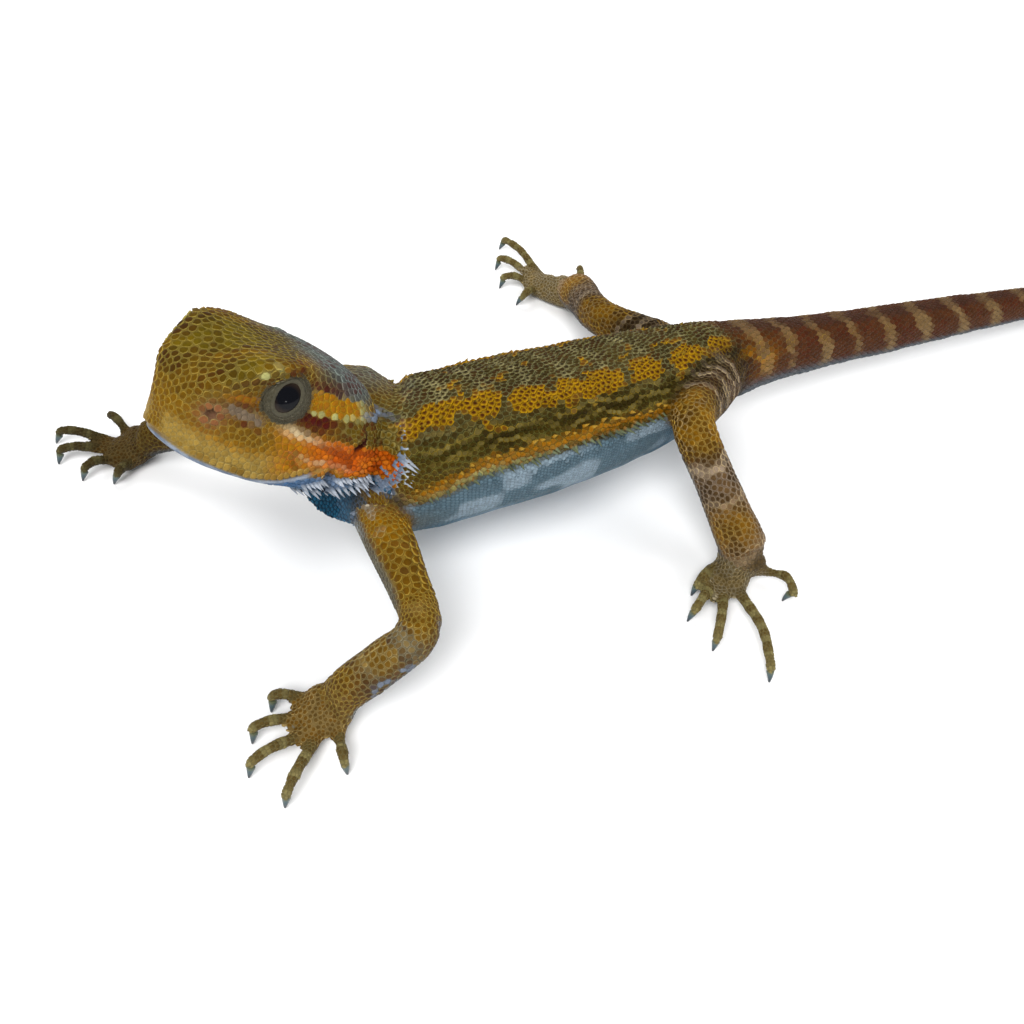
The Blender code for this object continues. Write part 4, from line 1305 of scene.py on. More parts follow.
def clearOfFace(head):
    # no scales on the lips' edge, in the eyes, the nostrils or the ears
    clear = np.abs(head[:, 2] - lipAt(head[:, 1]) + bareFace["lipsSunk"]) > bareFace["lips"]
    clear |= head[:, 1] > bareFace["lipsEnd"]
    for side in (1, -1):
        reach, angle, edge = eyeAngles(head, side)
        clear &= ~((reach < bareFace["eye"]) & (angle < edge * bareFace["eyeEdge"]))
        off = np.linalg.norm(head - mirrored(skinShape["nostril"], side), axis=1)
        clear &= off > bareFace["nostril"]
        slit, length = earAxes(head - mirrored(skinShape["ear"], side))
        clear &= ~((np.abs(slit) < bareFace["ear"][0]) & (np.abs(length) < bareFace["ear"][1]))
    return clear


lipPlates = {"start": 0.5, "end": 14.4, "lift": 0.42, "step": 0.7, "apart": 0.42}


def lipRoots():
    # one even row of plates along the upper lip
    found = []
    for side in (1, -1):
        along = np.linspace(lipPlates["start"], lipPlates["end"], 200)
        width = np.interp(along, *np.array(pose["headGirth"]).T[:2])
        run = runOf(np.stack([width * side, along, lipAt(along)], 1))
        for at in np.arange(lipPlates["step"] * 0.5, run[-1], lipPlates["step"]):
            y = np.interp(at, run, along)
            found.append(fromHead((np.interp(at, run, width) * side, y, lipAt(y) + lipPlates["lift"])))
    points, _ = onHide(np.array(found))
    return points[thin(points, np.full(len(points), lipPlates["apart"]))]


def bodyRow(at):
    # from row to row under the belly and round the tail, and from scale to scale in a row
    if at < pose["vent"]:
        return pitches["belly"], pitches["belly"]
    size = tailPitch((at - pose["vent"]) / 120)
    return size * 0.96, size


def allRoots():
    places, _, owner = locate(skinPoints[triangles].mean(1))
    place, angle, _ = places[0]
    onBack = (owner == 0) & (place < pose["vent"] + 0.5) & (np.abs(angle) < fringeAngle(place) + 7)
    groups = [
        strewRoots(owner == 1, "head", lipRoots(), clearOfFace),
        strewRoots(onBack, "back"),
        strewRoots(np.isin(owner, limbTubes), "limbs"),
    ]
    points, faces = tubeRoots(0, bodyRow, 0.3, tubes[0]["places"][-1] - 0.5)
    place, angle, _ = tubePlaces(tubes[0], points)
    kept = (place > pose["vent"]) | (np.abs(angle) > fringeAngle(place) + 6)
    groups.append((points[kept], faces[kept]))
    for index in digitTubes:
        groups.append(tubeRoots(index, lambda at: (pitches["digit"], pitches["digit"]),
                                tubes[index]["start"], tubes[index]["total"] - 0.1))
    points, faces = (np.concatenate([group[k] for group in groups]) for k in (0, 1))
    kept = thin(points, scaleSpacing(points) * strewing["rowsApart"])
    points, faces = points[kept], faces[kept]
    # the places that are still bare, as where two parts meet
    thrown, picked = throwRoots(np.arange(len(triangles)), strewing["bare"])
    tree = treeOf(points)
    size = scaleSpacing(thrown)
    bare = clearOfFace(toHead(thrown))
    bare &= np.array([tree.find(p)[2] for p in thrown]) > size * strewing["fromRows"]
    thrown, picked, size = thrown[bare], picked[bare], size[bare]
    kept = thin(thrown, size * strewing["bareApart"])
    points = np.concatenate([points, thrown[kept]])
    faces = np.concatenate([faces, picked[kept]])
    print("scales:", len(points), "of them in the seams:", len(kept))
    return points, faces, locate(points)[2]


roots, rootFaces, rootOwner = allRoots()
rootNormals = normalsAt(rootFaces, roots)
rootSize = scaleSpacing(roots)


def lieOf(points, normals, owner):
    # the way each scale points: to the tail's tip, along the limb, back over the head
    places = locate(points)[0]
    way = np.zeros((len(points), 3))
    for index, tube in enumerate(tubes):
        mine = owner == index
        near = np.searchsorted(tube["places"], places[index][0][mine]).clip(0, len(tube["places"]) - 1)
        way[mine] = tube["ahead"][near]
    head = toHead(points)
    for side in (1, -1):  # on the lids the scales lie round the eye
        centre, gaze, _, _ = eyeFrame(side)
        off = head - centre
        close = (np.linalg.norm(off, axis=1) < 2.9) & (owner == 1)
        way[close] = (np.cross(gaze, off[close])) @ headAxes.T
    way -= normals * (way * normals).sum(1)[:, None]
    return unit(way), places


rootLie, rootPlaces = lieOf(roots, rootNormals, rootOwner)
rootSide = np.cross(rootNormals, rootLie)
rootMid, rootNet = paint(roots)
rootWide = netWidth(roots, rootPlaces, rootOwner)

# a scale's outline reaches at most this share of its size, less where the small limb scales lie
scaleReach = {"most": 0.78, "onLimb": 0.62, "smallLimb": 0.56, "neighbours": 11, "least": 0.15}
# the rings of a scale from its foot up: share of its reach, height as a share of its thickness (below
# the skin in millimetres where negative), share of its lift, net on a thin line and more on a broad one
scaleRings = (
    (1.0, -0.10, 0.0, 1.0, 0.0), (0.96, 0.5, 0.75, 0.9, 0.1), (0.78, 1.0, 0.8, 0.25, 0.45),
)
bakePatch = 0.0015  # half the width of a scale's patch on the map OFBake


def ringAngles(sides):
    return np.arange(sides) * 2 * np.pi / sides


def outlines(sides):
    # each scale reaches half way to its neighbours, in that many directions
    tree = treeOf(roots)
    small = ~np.isin(rootOwner, (0, 1)) & (rootSize < scaleReach["smallLimb"])
    most = rootSize * np.where(small, scaleReach["onLimb"], scaleReach["most"])
    near = np.array([[j for _, j, _ in tree.find_n(p, scaleReach["neighbours"])][1:] for p in roots])
    off = roots[near] - roots[:, None]
    same = (rootNormals[near] * rootNormals[:, None]).sum(2) > 0.1
    u, v = ((off * axis[:, None]).sum(2) for axis in (rootLie, rootSide))
    length = np.maximum(np.sqrt((off**2).sum(2)), 1e-6)
    flat = np.maximum(np.hypot(u, v), 1e-6)
    u, v = u / flat * length, v / flat * length
    angle, length, least = ringAngles(sides), length[:, :, None], scaleReach["least"]
    toward = (u[:, :, None] * np.cos(angle) + v[:, :, None] * np.sin(angle)) / length
    reach = np.where((toward > least) & same[:, :, None], length / 2 / np.maximum(toward, least), 9)
    return np.minimum(reach.min(1), most[:, None])


def templateLoops(*groups):
    loops, starts = [], []
    for group in groups:
        for face in np.atleast_2d(group):
            starts.append(len(loops))
            loops.extend(face)
    return np.array(loops), np.array(starts)


def scaleFaces(sides):
    k = np.arange(sides)
    after = (k + 1) % sides
    quads = [np.stack([k + low, after + low, after + low + sides, k + low + sides], 1)
             for low in (0, sides)]
    tris = np.stack([k + 2 * sides, after + 2 * sides, np.full(sides, 3 * sides)], 1)
    return templateLoops(*quads, tris, k[::-1])


def scalePoints(chosen, reach, look):
    count, angle = len(chosen), ringAngles(reach.shape[1])
    mean = reach.mean(1)
    thick, lift, keel, point, gap = (np.broadcast_to(look[key], count)[:, None]
                                     for key in ("thick", "lift", "keel", "point", "gap"))
    rear = np.maximum(np.cos(angle), 0)[None]
    lie, side, normal, base = (v[chosen][:, None] for v in (rootLie, rootSide, rootNormals, roots))
    slim = 1 - gap / np.maximum(reach, 0.1)
    rings = []
    for share, high, raised, _, _ in scaleRings:
        radius = reach * slim * share
        radius = radius * (1 + point * rear**4 * (share > 0.9) * (high > 0))
        up = thick * high if high > 0 else np.full_like(reach, high)
        up = up + lift * raised * rear * (radius / np.maximum(mean[:, None], 0.1))
        rings.append(base + lie * (radius * np.cos(angle))[..., None]
                     + side * (radius * np.sin(angle))[..., None] + normal * up[..., None])
    crest = base + normal * (thick * 1.08 + keel)[..., None] + lie * (mean * 0.12)[:, None, None]
    return aboveFloor(np.concatenate([*rings, crest], axis=1))


def setValues(mesh, key, values):
    made = mesh.attributes.new(key, "FLOAT", "POINT")
    made.data.foreach_set("value", values.astype(np.float32))


def setAttributes(mesh, mid, net, rim, luck):
    for key, values in (("midTone", mid), ("netTone", net)):
        made = mesh.attributes.new(key, "FLOAT_COLOR", "POINT")
        flat = np.concatenate([values, np.ones((len(values), 1))], axis=1)
        made.data.foreach_set("color", flat.astype(np.float32).ravel())
    setValues(mesh, "rim", rim)
    setValues(mesh, "luck", luck)


def setBakeMap(mesh, spots, loops):
    layer = mesh.uv_layers.new(name="OFBake")
    layer.data.foreach_set("uv", spots[loops].astype(np.float32).ravel())


def buildScales(name, chosen, reach, look):
    # joins the chosen scales into one piece; look gives their thickness, lift and keel in millimetres
    points = scalePoints(chosen, reach[chosen], look)
    count, per, _ = points.shape
    sides = reach.shape[1]
    loops, starts = scaleFaces(sides)
    step = np.arange(count)[:, None]
    allLoops = (loops[None] + step * per).ravel()
    allStarts = (starts[None] + step * len(loops)).ravel()
    mesh = bpy.data.meshes.new(name)
    mesh.vertices.add(count * per)
    mesh.vertices.foreach_set("co", toFrame(points.reshape(-1, 3)).astype(np.float32).ravel())
    mesh.loops.add(len(allLoops))
    mesh.loops.foreach_set("vertex_index", allLoops.astype(np.int32))
    mesh.polygons.add(len(allStarts))
    mesh.polygons.foreach_set("loop_start", allStarts.astype(np.int32))
    mesh.update(calc_edges=True)
    wide = rootWide[chosen][:, None]
    rim = [wide * 0 + np.full(sides, narrow) + wide * more for *_, narrow, more in scaleRings]
    rim = np.concatenate([*rim, wide * 0.3], axis=1)
    setAttributes(mesh, np.repeat(rootMid[chosen], per, 0), np.repeat(rootNet[chosen], per, 0),
                  rim.ravel(), np.repeat(rng.random(count), per))
    ring = np.stack([np.cos(ringAngles(sides)), np.sin(ringAngles(sides))], 1)
    patch = np.concatenate([*(ring * s for s in (1, 0.85, 0.5)), [[0, 0]]]) * bakePatch
    setBakeMap(mesh, (rootMap[chosen][:, None] + patch[None]).reshape(-1, 2), allLoops)
    mesh.shade_smooth()
    print(name, count, "scales,", count * (sides * 6 - 2), "triangles")
    return linked(name, mesh)


# the plan of the hide: places and sizes of the rectangles for the parts
hidePlan = {
    "trunk": (0.02, 0.02, 0.44, 0.44), "head": (0.5, 0.02, 0.46, 0.40), "tail": (0.02, 0.5, 0.94, 0.12),
    "limb": (0.02, 0.66, 0.22, 0.14), "limbStep": 0.24,
    "digit": (0.02, 0.83, 0.085, 0.06), "digitStep": (0.096, 0.08), "digitsInRow": 10,
}


def unwrap():
    # each root's place on the plan of the hide, along and round its part
    spots = np.zeros((len(roots), 2))

    def spreadOut(mine, index, rectangle, start, end, right=0.0, up=0.0):
        place, angle, _ = (v[mine] for v in rootPlaces[index])
        u, v, width, height = rectangle
        spots[mine, 0] = u + right + width * np.clip((place - start) / (end - start), 0, 1)
        spots[mine, 1] = v + up + height * (angle / 360 + 0.5)

    isTail = rootPlaces[0][0] > pose["vent"]
    spreadOut((rootOwner == 0) & ~isTail, 0, hidePlan["trunk"], 0, pose["vent"])
    spreadOut((rootOwner == 0) & isTail, 0, hidePlan["tail"], pose["vent"], tubes[0]["places"][-1])
    spreadOut(rootOwner == 1, 1, hidePlan["head"], 0, 23.0)
    for number, index in enumerate(limbTubes):
        spreadOut(rootOwner == index, index, hidePlan["limb"], 0, tubes[index]["total"],
                  hidePlan["limbStep"] * number)
    for number, index in enumerate(digitTubes):
        row, column = divmod(number, hidePlan["digitsInRow"])
        right, up = hidePlan["digitStep"]
        spreadOut(rootOwner == index, index, hidePlan["digit"], 0, tubes[index]["total"],
                  right * column, up * row)
    return spots


rootMap = unwrap()


def makeMaterial(name):
    made = bpy.data.materials.new(name)
    made.use_nodes = True
    tree = made.node_tree
    tree.nodes.clear()
    output = tree.nodes.new("ShaderNodeOutputMaterial")
    shader = tree.nodes.new("ShaderNodeBsdfPrincipled")
    tree.links.new(shader.outputs[0], output.inputs[0])
    return made, tree, shader


def plug(tree, socket, value):
    if isinstance(value, bpy.types.NodeSocket):
        tree.links.new(value, socket)
    else:
        socket.default_value = value


def addNode(tree, kind, inputs=None, **values):
    node = tree.nodes.new(kind)
    for key, value in values.items():
        setattr(node, key, value)
    for key, value in (inputs or {}).items():
        plug(tree, node.inputs[key], value)
    return node


def attributeOf(tree, name, output):
    return addNode(tree, "ShaderNodeAttribute", attribute_name=name).outputs[output]


def noiseOf(tree, place, scale, detail):
    inputs = {"Vector": place, "Scale": scale, "Detail": detail}
    return addNode(tree, "ShaderNodeTexNoise", inputs).outputs["Fac"]


def mixColour(tree, factor, first, second, mode="MIX"):
    node = addNode(tree, "ShaderNodeMix", data_type="RGBA", blend_type=mode)
    for number, value in ((0, factor), (6, first), (7, second)):
        plug(tree, node.inputs[number], value)
    return node.outputs[2]


def ramp(tree, factor, *stops):
    # stops of a grey level or a colour
    node = addNode(tree, "ShaderNodeValToRGB", {"Fac": factor})
    elements = node.color_ramp.elements
    while len(elements) < len(stops):
        elements.new(0.5)
    for element, (at, value) in zip(elements, stops):
        element.position = at
        element.color = (*np.broadcast_to(value, 3), 1)
    return node.outputs[0]


# ramps are given by where they start and end, and the levels there
hideLook = {
    "grain": 5200.0,  # noise on Object coordinates, in cells to the metre
    "blotch": 1500.0,
    "net": ((0.5, 0.0), (0.95, 1.0)),
    "luck": ((0.0, 0.74), (1.0, 1.0)),  # each scale's own shade
    "speck": ((0.3, 0.72), (0.62, 1.0)), "speckShare": 0.8,
    "cloud": ((0.35, 0.82), (0.6, 1.0)), "cloudShare": 0.7,
    "roughness": ((0.3, 0.5), (0.7, 0.68)),
    "gleam": 0.14,
    "bump": {"Strength": 0.25, "Distance": 0.00005},
    # the bare skin between the scales is darkened to this share: painted shade in the gaps
    "skinPaintedShade": 0.8,
}


def hideMaterial(name, isSkin):
    made, tree, shader = makeMaterial(name)
    mid, net = attributeOf(tree, "midTone", "Color"), attributeOf(tree, "netTone", "Color")
    rim, luck = attributeOf(tree, "rim", "Fac"), attributeOf(tree, "luck", "Fac")
    place = addNode(tree, "ShaderNodeTexCoord").outputs["Object"]
    grain = noiseOf(tree, place, hideLook["grain"], 3.0)
    blotch = noiseOf(tree, place, hideLook["blotch"], 2.0)
    colour = mixColour(tree, ramp(tree, rim, *hideLook["net"]), mid, net)
    for share, factor, key in ((1.0, luck, "luck"), (hideLook["speckShare"], grain, "speck"),
                               (hideLook["cloudShare"], blotch, "cloud")):
        colour = mixColour(tree, share, colour, ramp(tree, factor, *hideLook[key]), "MULTIPLY")
    # painted shade in the gaps between the scales, where the bare skin shows
    if isSkin:
        dim = hideLook["skinPaintedShade"]
        colour = mixColour(tree, 1.0, colour, (dim, dim, dim, 1), "MULTIPLY")
    bump = addNode(tree, "ShaderNodeBump", {"Height": grain, **hideLook["bump"]})
    rough = ramp(tree, blotch, *hideLook["roughness"])
    for key, value in (("Base Color", colour), ("Roughness", rough), ("Normal", bump.outputs[0]),
                       ("Specular IOR Level", hideLook["gleam"])):
        plug(tree, shader.inputs[key], value)
    return made


scaleMaterial = hideMaterial("scales", False)
skinMaterial = hideMaterial("hide", True)


def finishPiece(piece, material, slot, *nodes):
    piece.data.materials.clear()
    piece.data.materials.append(material)
    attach(piece, "root")
    if nodes:
        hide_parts(*nodes)


# thickness, lift of the rear edge, keel and gap as shares of each scale's size, and how far the rear
# runs to a point
scaleForms = {
    "Head": {"thick": 0.10, "lift": 0.02, "keel": 0.02, "point": 0.0, "gap": 0.04},
    "Back": {"thick": 0.24, "lift": 0.24, "keel": 0.18, "point": 0.3, "gap": 0.06},
    "Belly": {"thick": 0.10, "lift": 0.05, "keel": 0.0, "point": 0.05, "gap": 0.05},
    "Tail": {"thick": 0.15, "lift": 0.15, "keel": 0.10, "point": 0.25, "gap": 0.03},
    "Arms": {"thick": 0.14, "lift": 0.07, "keel": 0.03, "point": 0.08, "gap": 0.05},
    "Legs": {"thick": 0.14, "lift": 0.10, "keel": 0.06, "point": 0.12, "gap": 0.05},
    "Digits": {"thick": 0.14, "lift": 0.08, "keel": 0.03, "point": 0.05, "gap": 0.05},
}
mostScales = {"Belly": 5500, "others": 4200}  # in one piece
scaleSides = {"Belly": 6, "others": 8}


def makeCoat():
    reach = {sides: outlines(sides) for sides in scaleSides.values()}
    place, angle, _ = rootPlaces[0]
    body, head = rootOwner == 0, rootOwner == 1
    tail = body & (place >= pose["vent"])
    belly = body & ~tail & (np.abs(angle) > fringeAngle(place) + 6)
    arms, legs = (np.isin(rootOwner, [i for i in limbTubes if tubes[i]["name"].startswith(limb)])
                  for limb in ("arm", "leg"))
    parts = {"Head": head, "Back": body & ~tail & ~belly, "Belly": belly, "Tail": tail,
             "Arms": arms, "Legs": legs, "Digits": ~(body | head | arms | legs)}
    for part, form in scaleForms.items():
        chosen = np.where(parts[part])[0]
        most, sides = (table.get(part, table["others"]) for table in (mostScales, scaleSides))
        batches = np.array_split(chosen, math.ceil(len(chosen) / most))
        for number, batch in enumerate(batches, 1):
            look = {key: value * (1 if key == "point" else rootSize[batch])
                    for key, value in form.items()}
            name = "scales" + part + (str(number) if len(batches) > 1 else "")
            finishPiece(buildScales(name, batch, reach[sides], look), scaleMaterial, "hide")


def paintSkin():
    mid, net = paint(skinPoints)
    setAttributes(skin.data, mid, net, np.full(len(mid), 0.7), np.full(len(mid), 0.5))
    finishPiece(skin, skinMaterial, "hide", *fleshNodes)


paintSkin()
makeCoat()
print("coat made")

# the rings of a spike from its foot to its tip: share of its length, of its radius and of its patch on
# the map OFBake
spikeRings = ((-0.25, 1.0, 1), (0.15, 0.92, 0.8), (0.5, 0.6, 0.5), (0.82, 0.24, 0.25))


def byChance(bounds):
    # the least, and as much more by chance
    return bounds[0] + bounds[1] * rng.random()


def spikeMesh(name, spikes, sides=6):
    # bent cones: each spike has its root, direction, bend, radius, length and two tones
    points, faces, mid, net, rim, uvs = [], [], [], [], [], []
    angle, last = ringAngles(sides), len(spikeRings) - 1
    for root, way, bend, radius, length, (tipTone, footTone) in spikes:
        way = unit(way)
        side = unit(np.cross(way, (0.3, 0.2, 0.9)))
        top = np.cross(side, way)
        start = len(points)
        for share, thick, _ in spikeRings:
            centre = root + way * length * share + np.array(bend) * length * max(share, 0) ** 2
            for a in angle:
                points.append(centre + (side * math.cos(a) + top * math.sin(a)) * radius * thick)
            rim += [max(1 - 1.6 * max(share, 0), 0)] * sides
        points.append(root + way * length + np.array(bend) * length)
        rim.append(0.0)
        mid += [tipTone] * (len(points) - start)
        net += [footTone] * (len(points) - start)
        ring = lambda level, k: start + level * sides + k % sides
        for level in range(last):
            faces += [(ring(level, k), ring(level, k + 1), ring(level + 1, k + 1), ring(level + 1, k))
                      for k in range(sides)]
        faces += [(ring(last, k), ring(last, k + 1), len(points) - 1) for k in range(sides)]
        faces.append(tuple(ring(0, k) for k in reversed(range(sides))))
        spot = rootMap[((roots - root) ** 2).sum(1).argmin()]
        patch = [(np.cos(a) * s, np.sin(a) * s) for *_, s in spikeRings for a in angle]
        uvs += [(spot[0] + bakePatch * u, spot[1] + bakePatch * v) for u, v in patch + [(0, 0)]]
    mesh = bpy.data.meshes.new(name)
    mesh.from_pydata(toFrame(aboveFloor(np.array(points))).tolist(), [], faces)
    setAttributes(mesh, np.array(mid), np.array(net), np.array(rim), np.full(len(points), 0.6))
    setBakeMap(mesh, np.array(uvs), readAll(mesh.loops, "vertex_index", 1, np.int32)[:, 0])
    mesh.shade_smooth()
    piece = linked(name, mesh)
    activate(piece)
    editAll(bpy.ops.mesh.normals_make_consistent, inside=False)
    finishPiece(piece, scaleMaterial, "hide")
    print(name, len(spikes), "spikes")


def onSkin(point):
    place, _, face, _ = skinTree.find_nearest(Vector(point))
    place = np.array(place)
    return place, normalsAt(np.array([face]), place[None])[0]


def bodyRay(at, a):
    # where a ray from the spine meets the skin: its place and the row of the spine's axes there
    i = int(np.searchsorted(tubes[0]["places"], at))
    ray = tubes[0]["top"][i] * math.cos(a) + tubes[0]["side"][i] * math.sin(a)
    return castOut(tubes[0]["line"][i], [ray])[0][0], i


beard = {
    "radius": 0.14, "radiusByLength": 0.08, "bend": -0.1, "outward": 0.15, "unruly": 0.1,
    "footTone": 0.7, "longer": (0.7, 0.6), "paler": (0.55, 0.45),
    # rows in the head's own axes: points along the row, spikes, their length, the way they point
    "rows": (
        (((9.0, 24.2, 3.0), (9.9, 23.8, 2.4), (11.0, 23.2, 1.4), (11.8, 22.9, 0.2)), 8, 1.0,
         (0.6, 0.8, 0.15)),
        (((11.4, 23.1, 0.7), (12.1, 22.8, -0.6), (12.1, 22.8, -1.8), (11.7, 22.7, -2.7)), 9, 1.8,
         (0.85, 0.5, -0.1)),
        (((11.0, 22.7, 0.0), (11.5, 22.7, -1.4), (11.0, 22.6, -2.8), (9.9, 22.6, -3.9)), 8, 1.7,
         (0.85, 0.5, -0.35)),
        (((11.6, 22.7, -2.6), (10.4, 21.8, -2.7), (9.7, 19.8, -2.8), (9.3, 17.5, -3.0),
          (8.6, 15.2, -3.4), (7.9, 13.4, -3.9)), 26, 1.0, (0.85, 0.4, -0.45)),
        (((12.0, 22.8, -2.3), (11.0, 22.5, -3.1), (10.0, 21.5, -3.3), (9.4, 19.4, -3.5)), 12, 1.4,
         (0.85, 0.4, -0.4)),
        (((11.6, 22.8, -3.4), (10.4, 22.6, -4.0), (9.2, 22.4, -4.6)), 7, 1.5, (0.8, 0.4, -0.5)),
        (((10.9, 22.5, -3.6), (9.7, 20.8, -3.8), (9.0, 18.2, -4.1), (8.0, 15.8, -4.6),
          (6.6, 13.0, -5.2)), 15, 1.3, (0.8, 0.45, -0.5)),
        (((9.0, 22.2, -5.4), (8.0, 19.8, -5.4), (6.6, 16.8, -5.9)), 7, 1.1, (0.7, 0.5, -0.6)),
        (((9.4, 23.9, -1.8), (10.4, 23.9, -2.0), (11.6, 23.8, -2.1)), 5, 1.5, (0.9, 0.45, -0.4)),
        (((8.8, 23.9, -3.0), (10.0, 23.9, -3.2), (11.2, 23.8, -3.2)), 5, 1.5, (0.9, 0.45, -0.45)),
        (((8.4, 23.8, -4.2), (9.4, 23.7, -4.3), (10.4, 23.6, -4.3)), 4, 1.3, (0.85, 0.45, -0.5)),
    ),
}


def makeBeard():
    spikes = []
    for side, (line, count, length, way) in itertools.product((1, -1), beard["rows"]):
        line = np.array(line)
        run = runOf(line)
        for k in range(count):
            at = (k + 0.3 + 0.4 * rng.random()) / count * run[-1]
            spot = mirrored([np.interp(at, run, line[:, i]) for i in range(3)], side)
            root, normal = onSkin(fromHead(spot))
            out = headAxes @ unit(mirrored(way, side)) + beard["outward"] * normal
            out = out + beard["unruly"] * rng.normal(size=3)
            long = length * byChance(beard["longer"])
            pale = hues["white"] * byChance(beard["paler"])
            spikes.append((root, unit(out), beard["bend"] * normal,
                           beard["radius"] + beard["radiusByLength"] * long, long,
                           (pale, hues["paleBlue"] * beard["footTone"])))
    spikeMesh("spikesBeard", spikes)


fringe = {
    "start": 9.5, "end": 48.0, "radius": 0.27, "bend": 0.1, "unruly": 0.16,
    "outward": 0.75, "rearward": 0.4, "longer": (0.45, 0.6), "paler": (0.45, 0.6),
    # each row: degrees over the flank's edge, length, step, how far the spikes point down
    "rows": ((2.0, 1.55, 0.85, 0.5), (-6.0, 0.85, 1.3, 0.0)),
}


def makeFringe():
    # two rows along each flank, the lower one longer and paler
    spikes = []
    body = tubes[0]
    for side, (lift, length, step, down) in itertools.product((1, -1), fringe["rows"]):
        for at in np.arange(fringe["start"], fringe["end"], step):
            angle = fringeAngle(at) + lift + 3 * (rng.random() - 0.5)
            root, i = bodyRay(at, math.radians(angle) * side)
            if root is None or locate(np.array(root)[None])[2][0] != 0:
                continue
            root = np.array(root)
            _, normal = onSkin(root)
            way = normal * fringe["outward"] + body["ahead"][i] * fringe["rearward"]
            way = way - body["top"][i] * down
            ends = min(1.0, (at - 7) / 6, (50 - at) / 8)
            pale = hues["spike"] * byChance(fringe["paler"]) if down else hues["fringeNet"]
            long = length * byChance(fringe["longer"]) * max(0.4, ends)
            way = way + fringe["unruly"] * rng.normal(size=3)
            spikes.append((root, unit(way), normal * fringe["bend"], fringe["radius"], long,
                           (pale, hues["fringe"])))
    spikeMesh("spikesFlank", spikes)


backSpines = {
    "start": 5.0, "end": 54.0, "step": 1.0, "angles": (-52, -36, -20, -4, 14, 30, 42, 54),
    "leftOut": 0.4, "radius": 0.28, "length": (0.35, 0.35),
}


def makeBackSpines():
    # low blunt spines along the bright patches and the crest, in short cross rows
    spikes = []
    rows = np.arange(backSpines["start"], backSpines["end"], backSpines["step"])
    for at, angle in itertools.product(rows, backSpines["angles"]):
        angle = angle + 8 * (rng.random() - 0.5)
        if rng.random() < backSpines["leftOut"]:
            continue
        root, i = bodyRay(at, math.radians(angle))
        if root is None:
            continue
        root = np.array(root)
        _, normal = onSkin(root)
        way = unit(normal * 0.8 + tubes[0]["ahead"][i] * 0.6)
        tipTone = hues["back"] * 0.6 + paint(root[None])[1][0] * 0.4
        spikes.append((root, way, (0, 0, 0), backSpines["radius"], byChance(backSpines["length"]),
                       (tipTone, hues["back"])))
    spikeMesh("spikesBack", spikes)


makeBeard()
makeFringe()
makeBackSpines()

eyeLook = {
    "pupil": (8, 9, 14), "iris": (38, 28, 20), "edge": ((0.55, 0.0), (0.85, 1.0)),
    "spread": 48.0,  # the angle from the gaze at which the edge's scale ends, in degrees
    "roughness": 0.06, "gleam": 0.14, "bulge": (0.05, 22),  # height, angle
}


def makeEyes():
    made, tree, shader = makeMaterial("eye")
    share = ramp(tree, attributeOf(tree, "iris", "Fac"), *eyeLook["edge"])
    colour = mixColour(tree, share, *((*tone(*eyeLook[key]), 1) for key in ("pupil", "iris")))
    plug(tree, shader.inputs["Base Color"], colour)
    plug(tree, shader.inputs["Roughness"], eyeLook["roughness"])
    plug(tree, shader.inputs["Specular IOR Level"], eyeLook["gleam"])
    radius = skinShape["eyeRadius"]
    for side, name in ((1, "left"), (-1, "right")):
        centre = eyeFrame(side)[0]
        deselect()
        bpy.ops.mesh.primitive_uv_sphere_add(segments=48, ring_count=32, radius=radius * mm,
                                             location=toFrame(fromHead(centre)))
        ball = bpy.context.view_layer.objects.active
        ball.name = ball.data.name = "eyeball_" + name
        bpy.ops.object.transform_apply(location=True, rotation=True, scale=True)
        head = toHead(meshPoints(ball))
        angle = eyeAngles(head, side)[1]
        high, wide = eyeLook["bulge"]  # the clear front of the eye stands out a little
        bulge = high * hump(angle, 0, wide)
        setPoints(ball, fromHead(centre + unit(head - centre) * (radius + bulge)[:, None]))
        setValues(ball.data, "iris", np.clip(angle / eyeLook["spread"], 0, 1))
        activate(ball)
        bpy.ops.object.shade_smooth()
        finishPiece(ball, made, "eye", "eye_" + name)


clawLook = {
    "tones": ((0.0, (88, 92, 64)), (0.3, (40, 68, 72)), (0.62, (18, 44, 54)), (1.0, (8, 16, 22))),
    "grain": 6000.0, "speck": ((0.3, 0.75), (0.65, 1.0)),
    "finish": {"Roughness": 0.32, "Coat Weight": 0.3, "Coat Roughness": 0.2},
    "grow": 1.25,  # about the tip, so that the root reaches into the digit
}


def makeClaws():
    made, tree, shader = makeMaterial("claw")
    height = attributeOf(tree, "tip", "Fac")
    grain = noiseOf(tree, addNode(tree, "ShaderNodeTexCoord").outputs["Object"], clawLook["grain"], 3.0)
    colour = ramp(tree, height, *((at, tone(*rgb)) for at, rgb in clawLook["tones"]))
    colour = mixColour(tree, 0.8, colour, ramp(tree, grain, *clawLook["speck"]), "MULTIPLY")
    for key, value in {"Base Color": colour, **clawLook["finish"]}.items():
        plug(tree, shader.inputs[key], value)
    for foot in ("hand_left", "hand_right", "foot_left", "foot_right"):
        nodes = [f"claw_{foot}_{k}" for k in range(1, 6)]
        parts = []
        for node in nodes:
            claw = copyNodes(node + "Fine", [node])
            applyModifier(claw, "SUBSURF", levels=2, render_levels=2)
            points = meshPoints(claw)
            low, high = points[:, 2].min(), points[:, 2].max()
            tip = points[points[:, 2].argmin()]
            setPoints(claw, aboveFloor(tip + (points - tip) * clawLook["grow"]))
            setValues(claw.data, "tip", (high - points[:, 2]) / (high - low))
            parts.append(claw)
        claws = joined(parts, "claws_" + foot)
        bpy.ops.object.shade_smooth()
        finishPiece(claws, made, "claw", *nodes)


makeEyes()
makeClaws()
print("eyes and claws made")

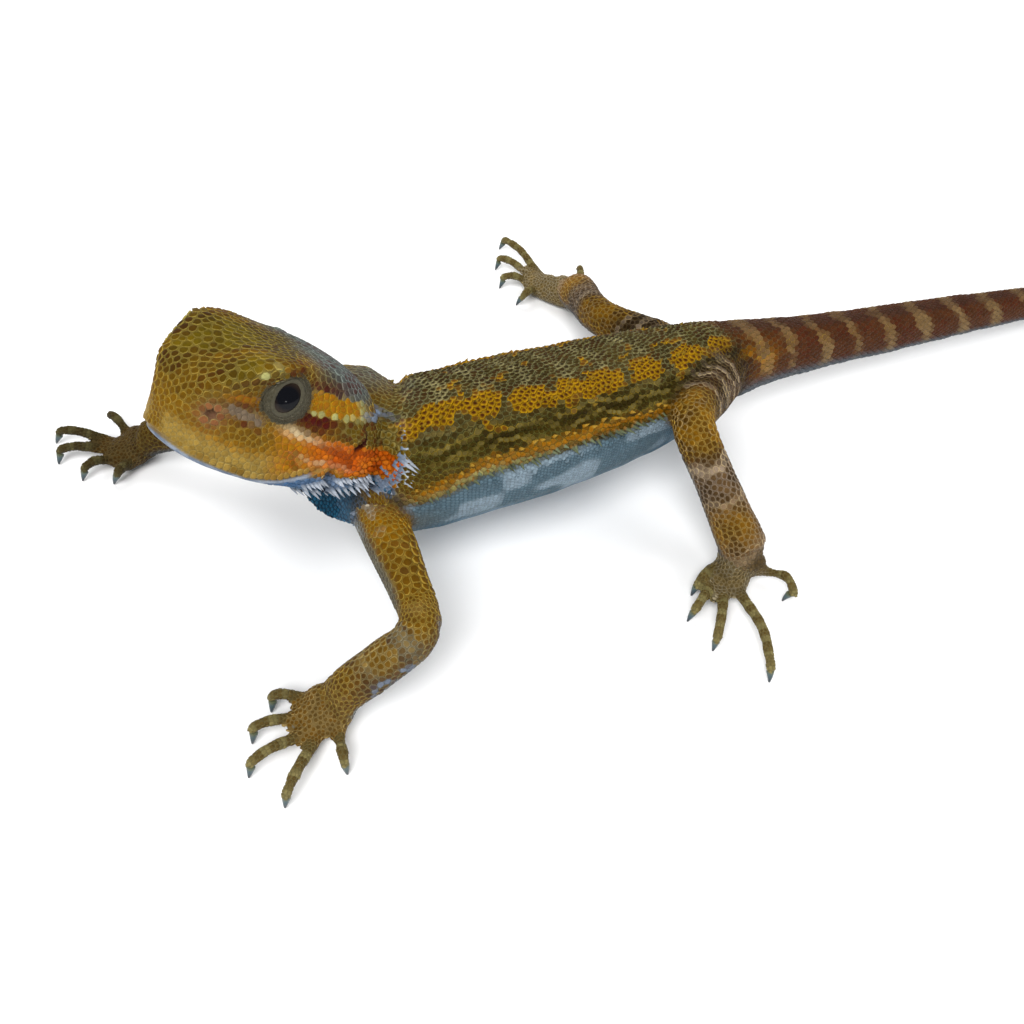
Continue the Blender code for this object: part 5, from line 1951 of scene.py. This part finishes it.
studio = {
    "floorSize": 6.0, "floorHeight": -0.00002,
    "floorTone": 0.94, "floorRoughness": 0.9,
    "sky": 0.34,
    "camera": (0.07497, -0.09858, 0.0911),
    "azimuth": 54.3, "elevation": 49.8, "roll": 7.9,
    "lens": 33.93, "sensor": 36.0, "shift": (-0.0014, 0.0279), "clip": (0.005, 20.0),
    "lamps": (  # place, aim, size, watts
        ((0.25, -0.35, 0.55), (0.0, -0.03, 0.0), 0.45, 4.5),
        ((-0.45, 0.05, 0.5), (0.0, -0.02, 0.0), 0.5, 2.4),
        ((0.35, 0.35, 0.4), (0.0, 0.0, 0.0), 0.4, 1.4),
        ((0.339, -0.165, 0.096), (0.007, -0.078, 0.028), 0.04, 0.06),  # the spark in the eye
    ),
}


def makeStudio():
    deselect()
    bpy.ops.mesh.primitive_plane_add(size=studio["floorSize"], location=(0, 0, studio["floorHeight"]))
    floor = bpy.context.view_layer.objects.active
    floor.name = "floor"
    bpy.ops.object.transform_apply(location=True, rotation=True, scale=True)
    paper, tree, shader = makeMaterial("paper")
    pale = studio["floorTone"]
    plug(tree, shader.inputs["Base Color"], (pale, pale, pale, 1))
    plug(tree, shader.inputs["Roughness"], studio["floorRoughness"])
    floor.data.materials.append(paper)
    for number, (place, aim, size, watts) in enumerate(studio["lamps"], 1):
        lamp = bpy.data.lights.new(f"lamp{number}", "AREA")
        lamp.shape, lamp.size, lamp.energy = "DISK", size, watts
        made = linked(f"lamp{number}", lamp)
        made.location = place
        made.visible_glossy = number == len(studio["lamps"])
        made.rotation_euler = (Vector(place) - Vector(aim)).to_track_quat("Z", "Y").to_euler()
    world = bpy.data.worlds.new("studio")
    world.use_nodes = True
    world.node_tree.nodes["Background"].inputs[0].default_value = (1, 1, 1, 1)
    world.node_tree.nodes["Background"].inputs[1].default_value = studio["sky"]
    bpy.context.scene.world = world
    bpy.context.scene.view_settings.view_transform = "Standard"


def makeCamera():
    az, el, turn = (math.radians(studio[k]) for k in ("azimuth", "elevation", "roll"))
    back = Vector((math.sin(az) * math.cos(el), -math.cos(az) * math.cos(el), math.sin(el)))
    level = Vector((math.cos(az), math.sin(az), 0.0))
    rise = back.cross(level)
    right = level * math.cos(turn) + rise * math.sin(turn)
    up = rise * math.cos(turn) - level * math.sin(turn)
    data = bpy.data.cameras.new("camera")
    data.lens, data.sensor_width = studio["lens"], studio["sensor"]
    data.shift_x, data.shift_y = studio["shift"]
    data.clip_start, data.clip_end = studio["clip"]
    made = linked("camera", data)
    turned = Matrix((right, up, back)).transposed().to_4x4()
    made.matrix_world = Matrix.Translation(studio["camera"]) @ turned
    bpy.context.scene.camera = made


makeStudio()
makeCamera()
print("studio ready")
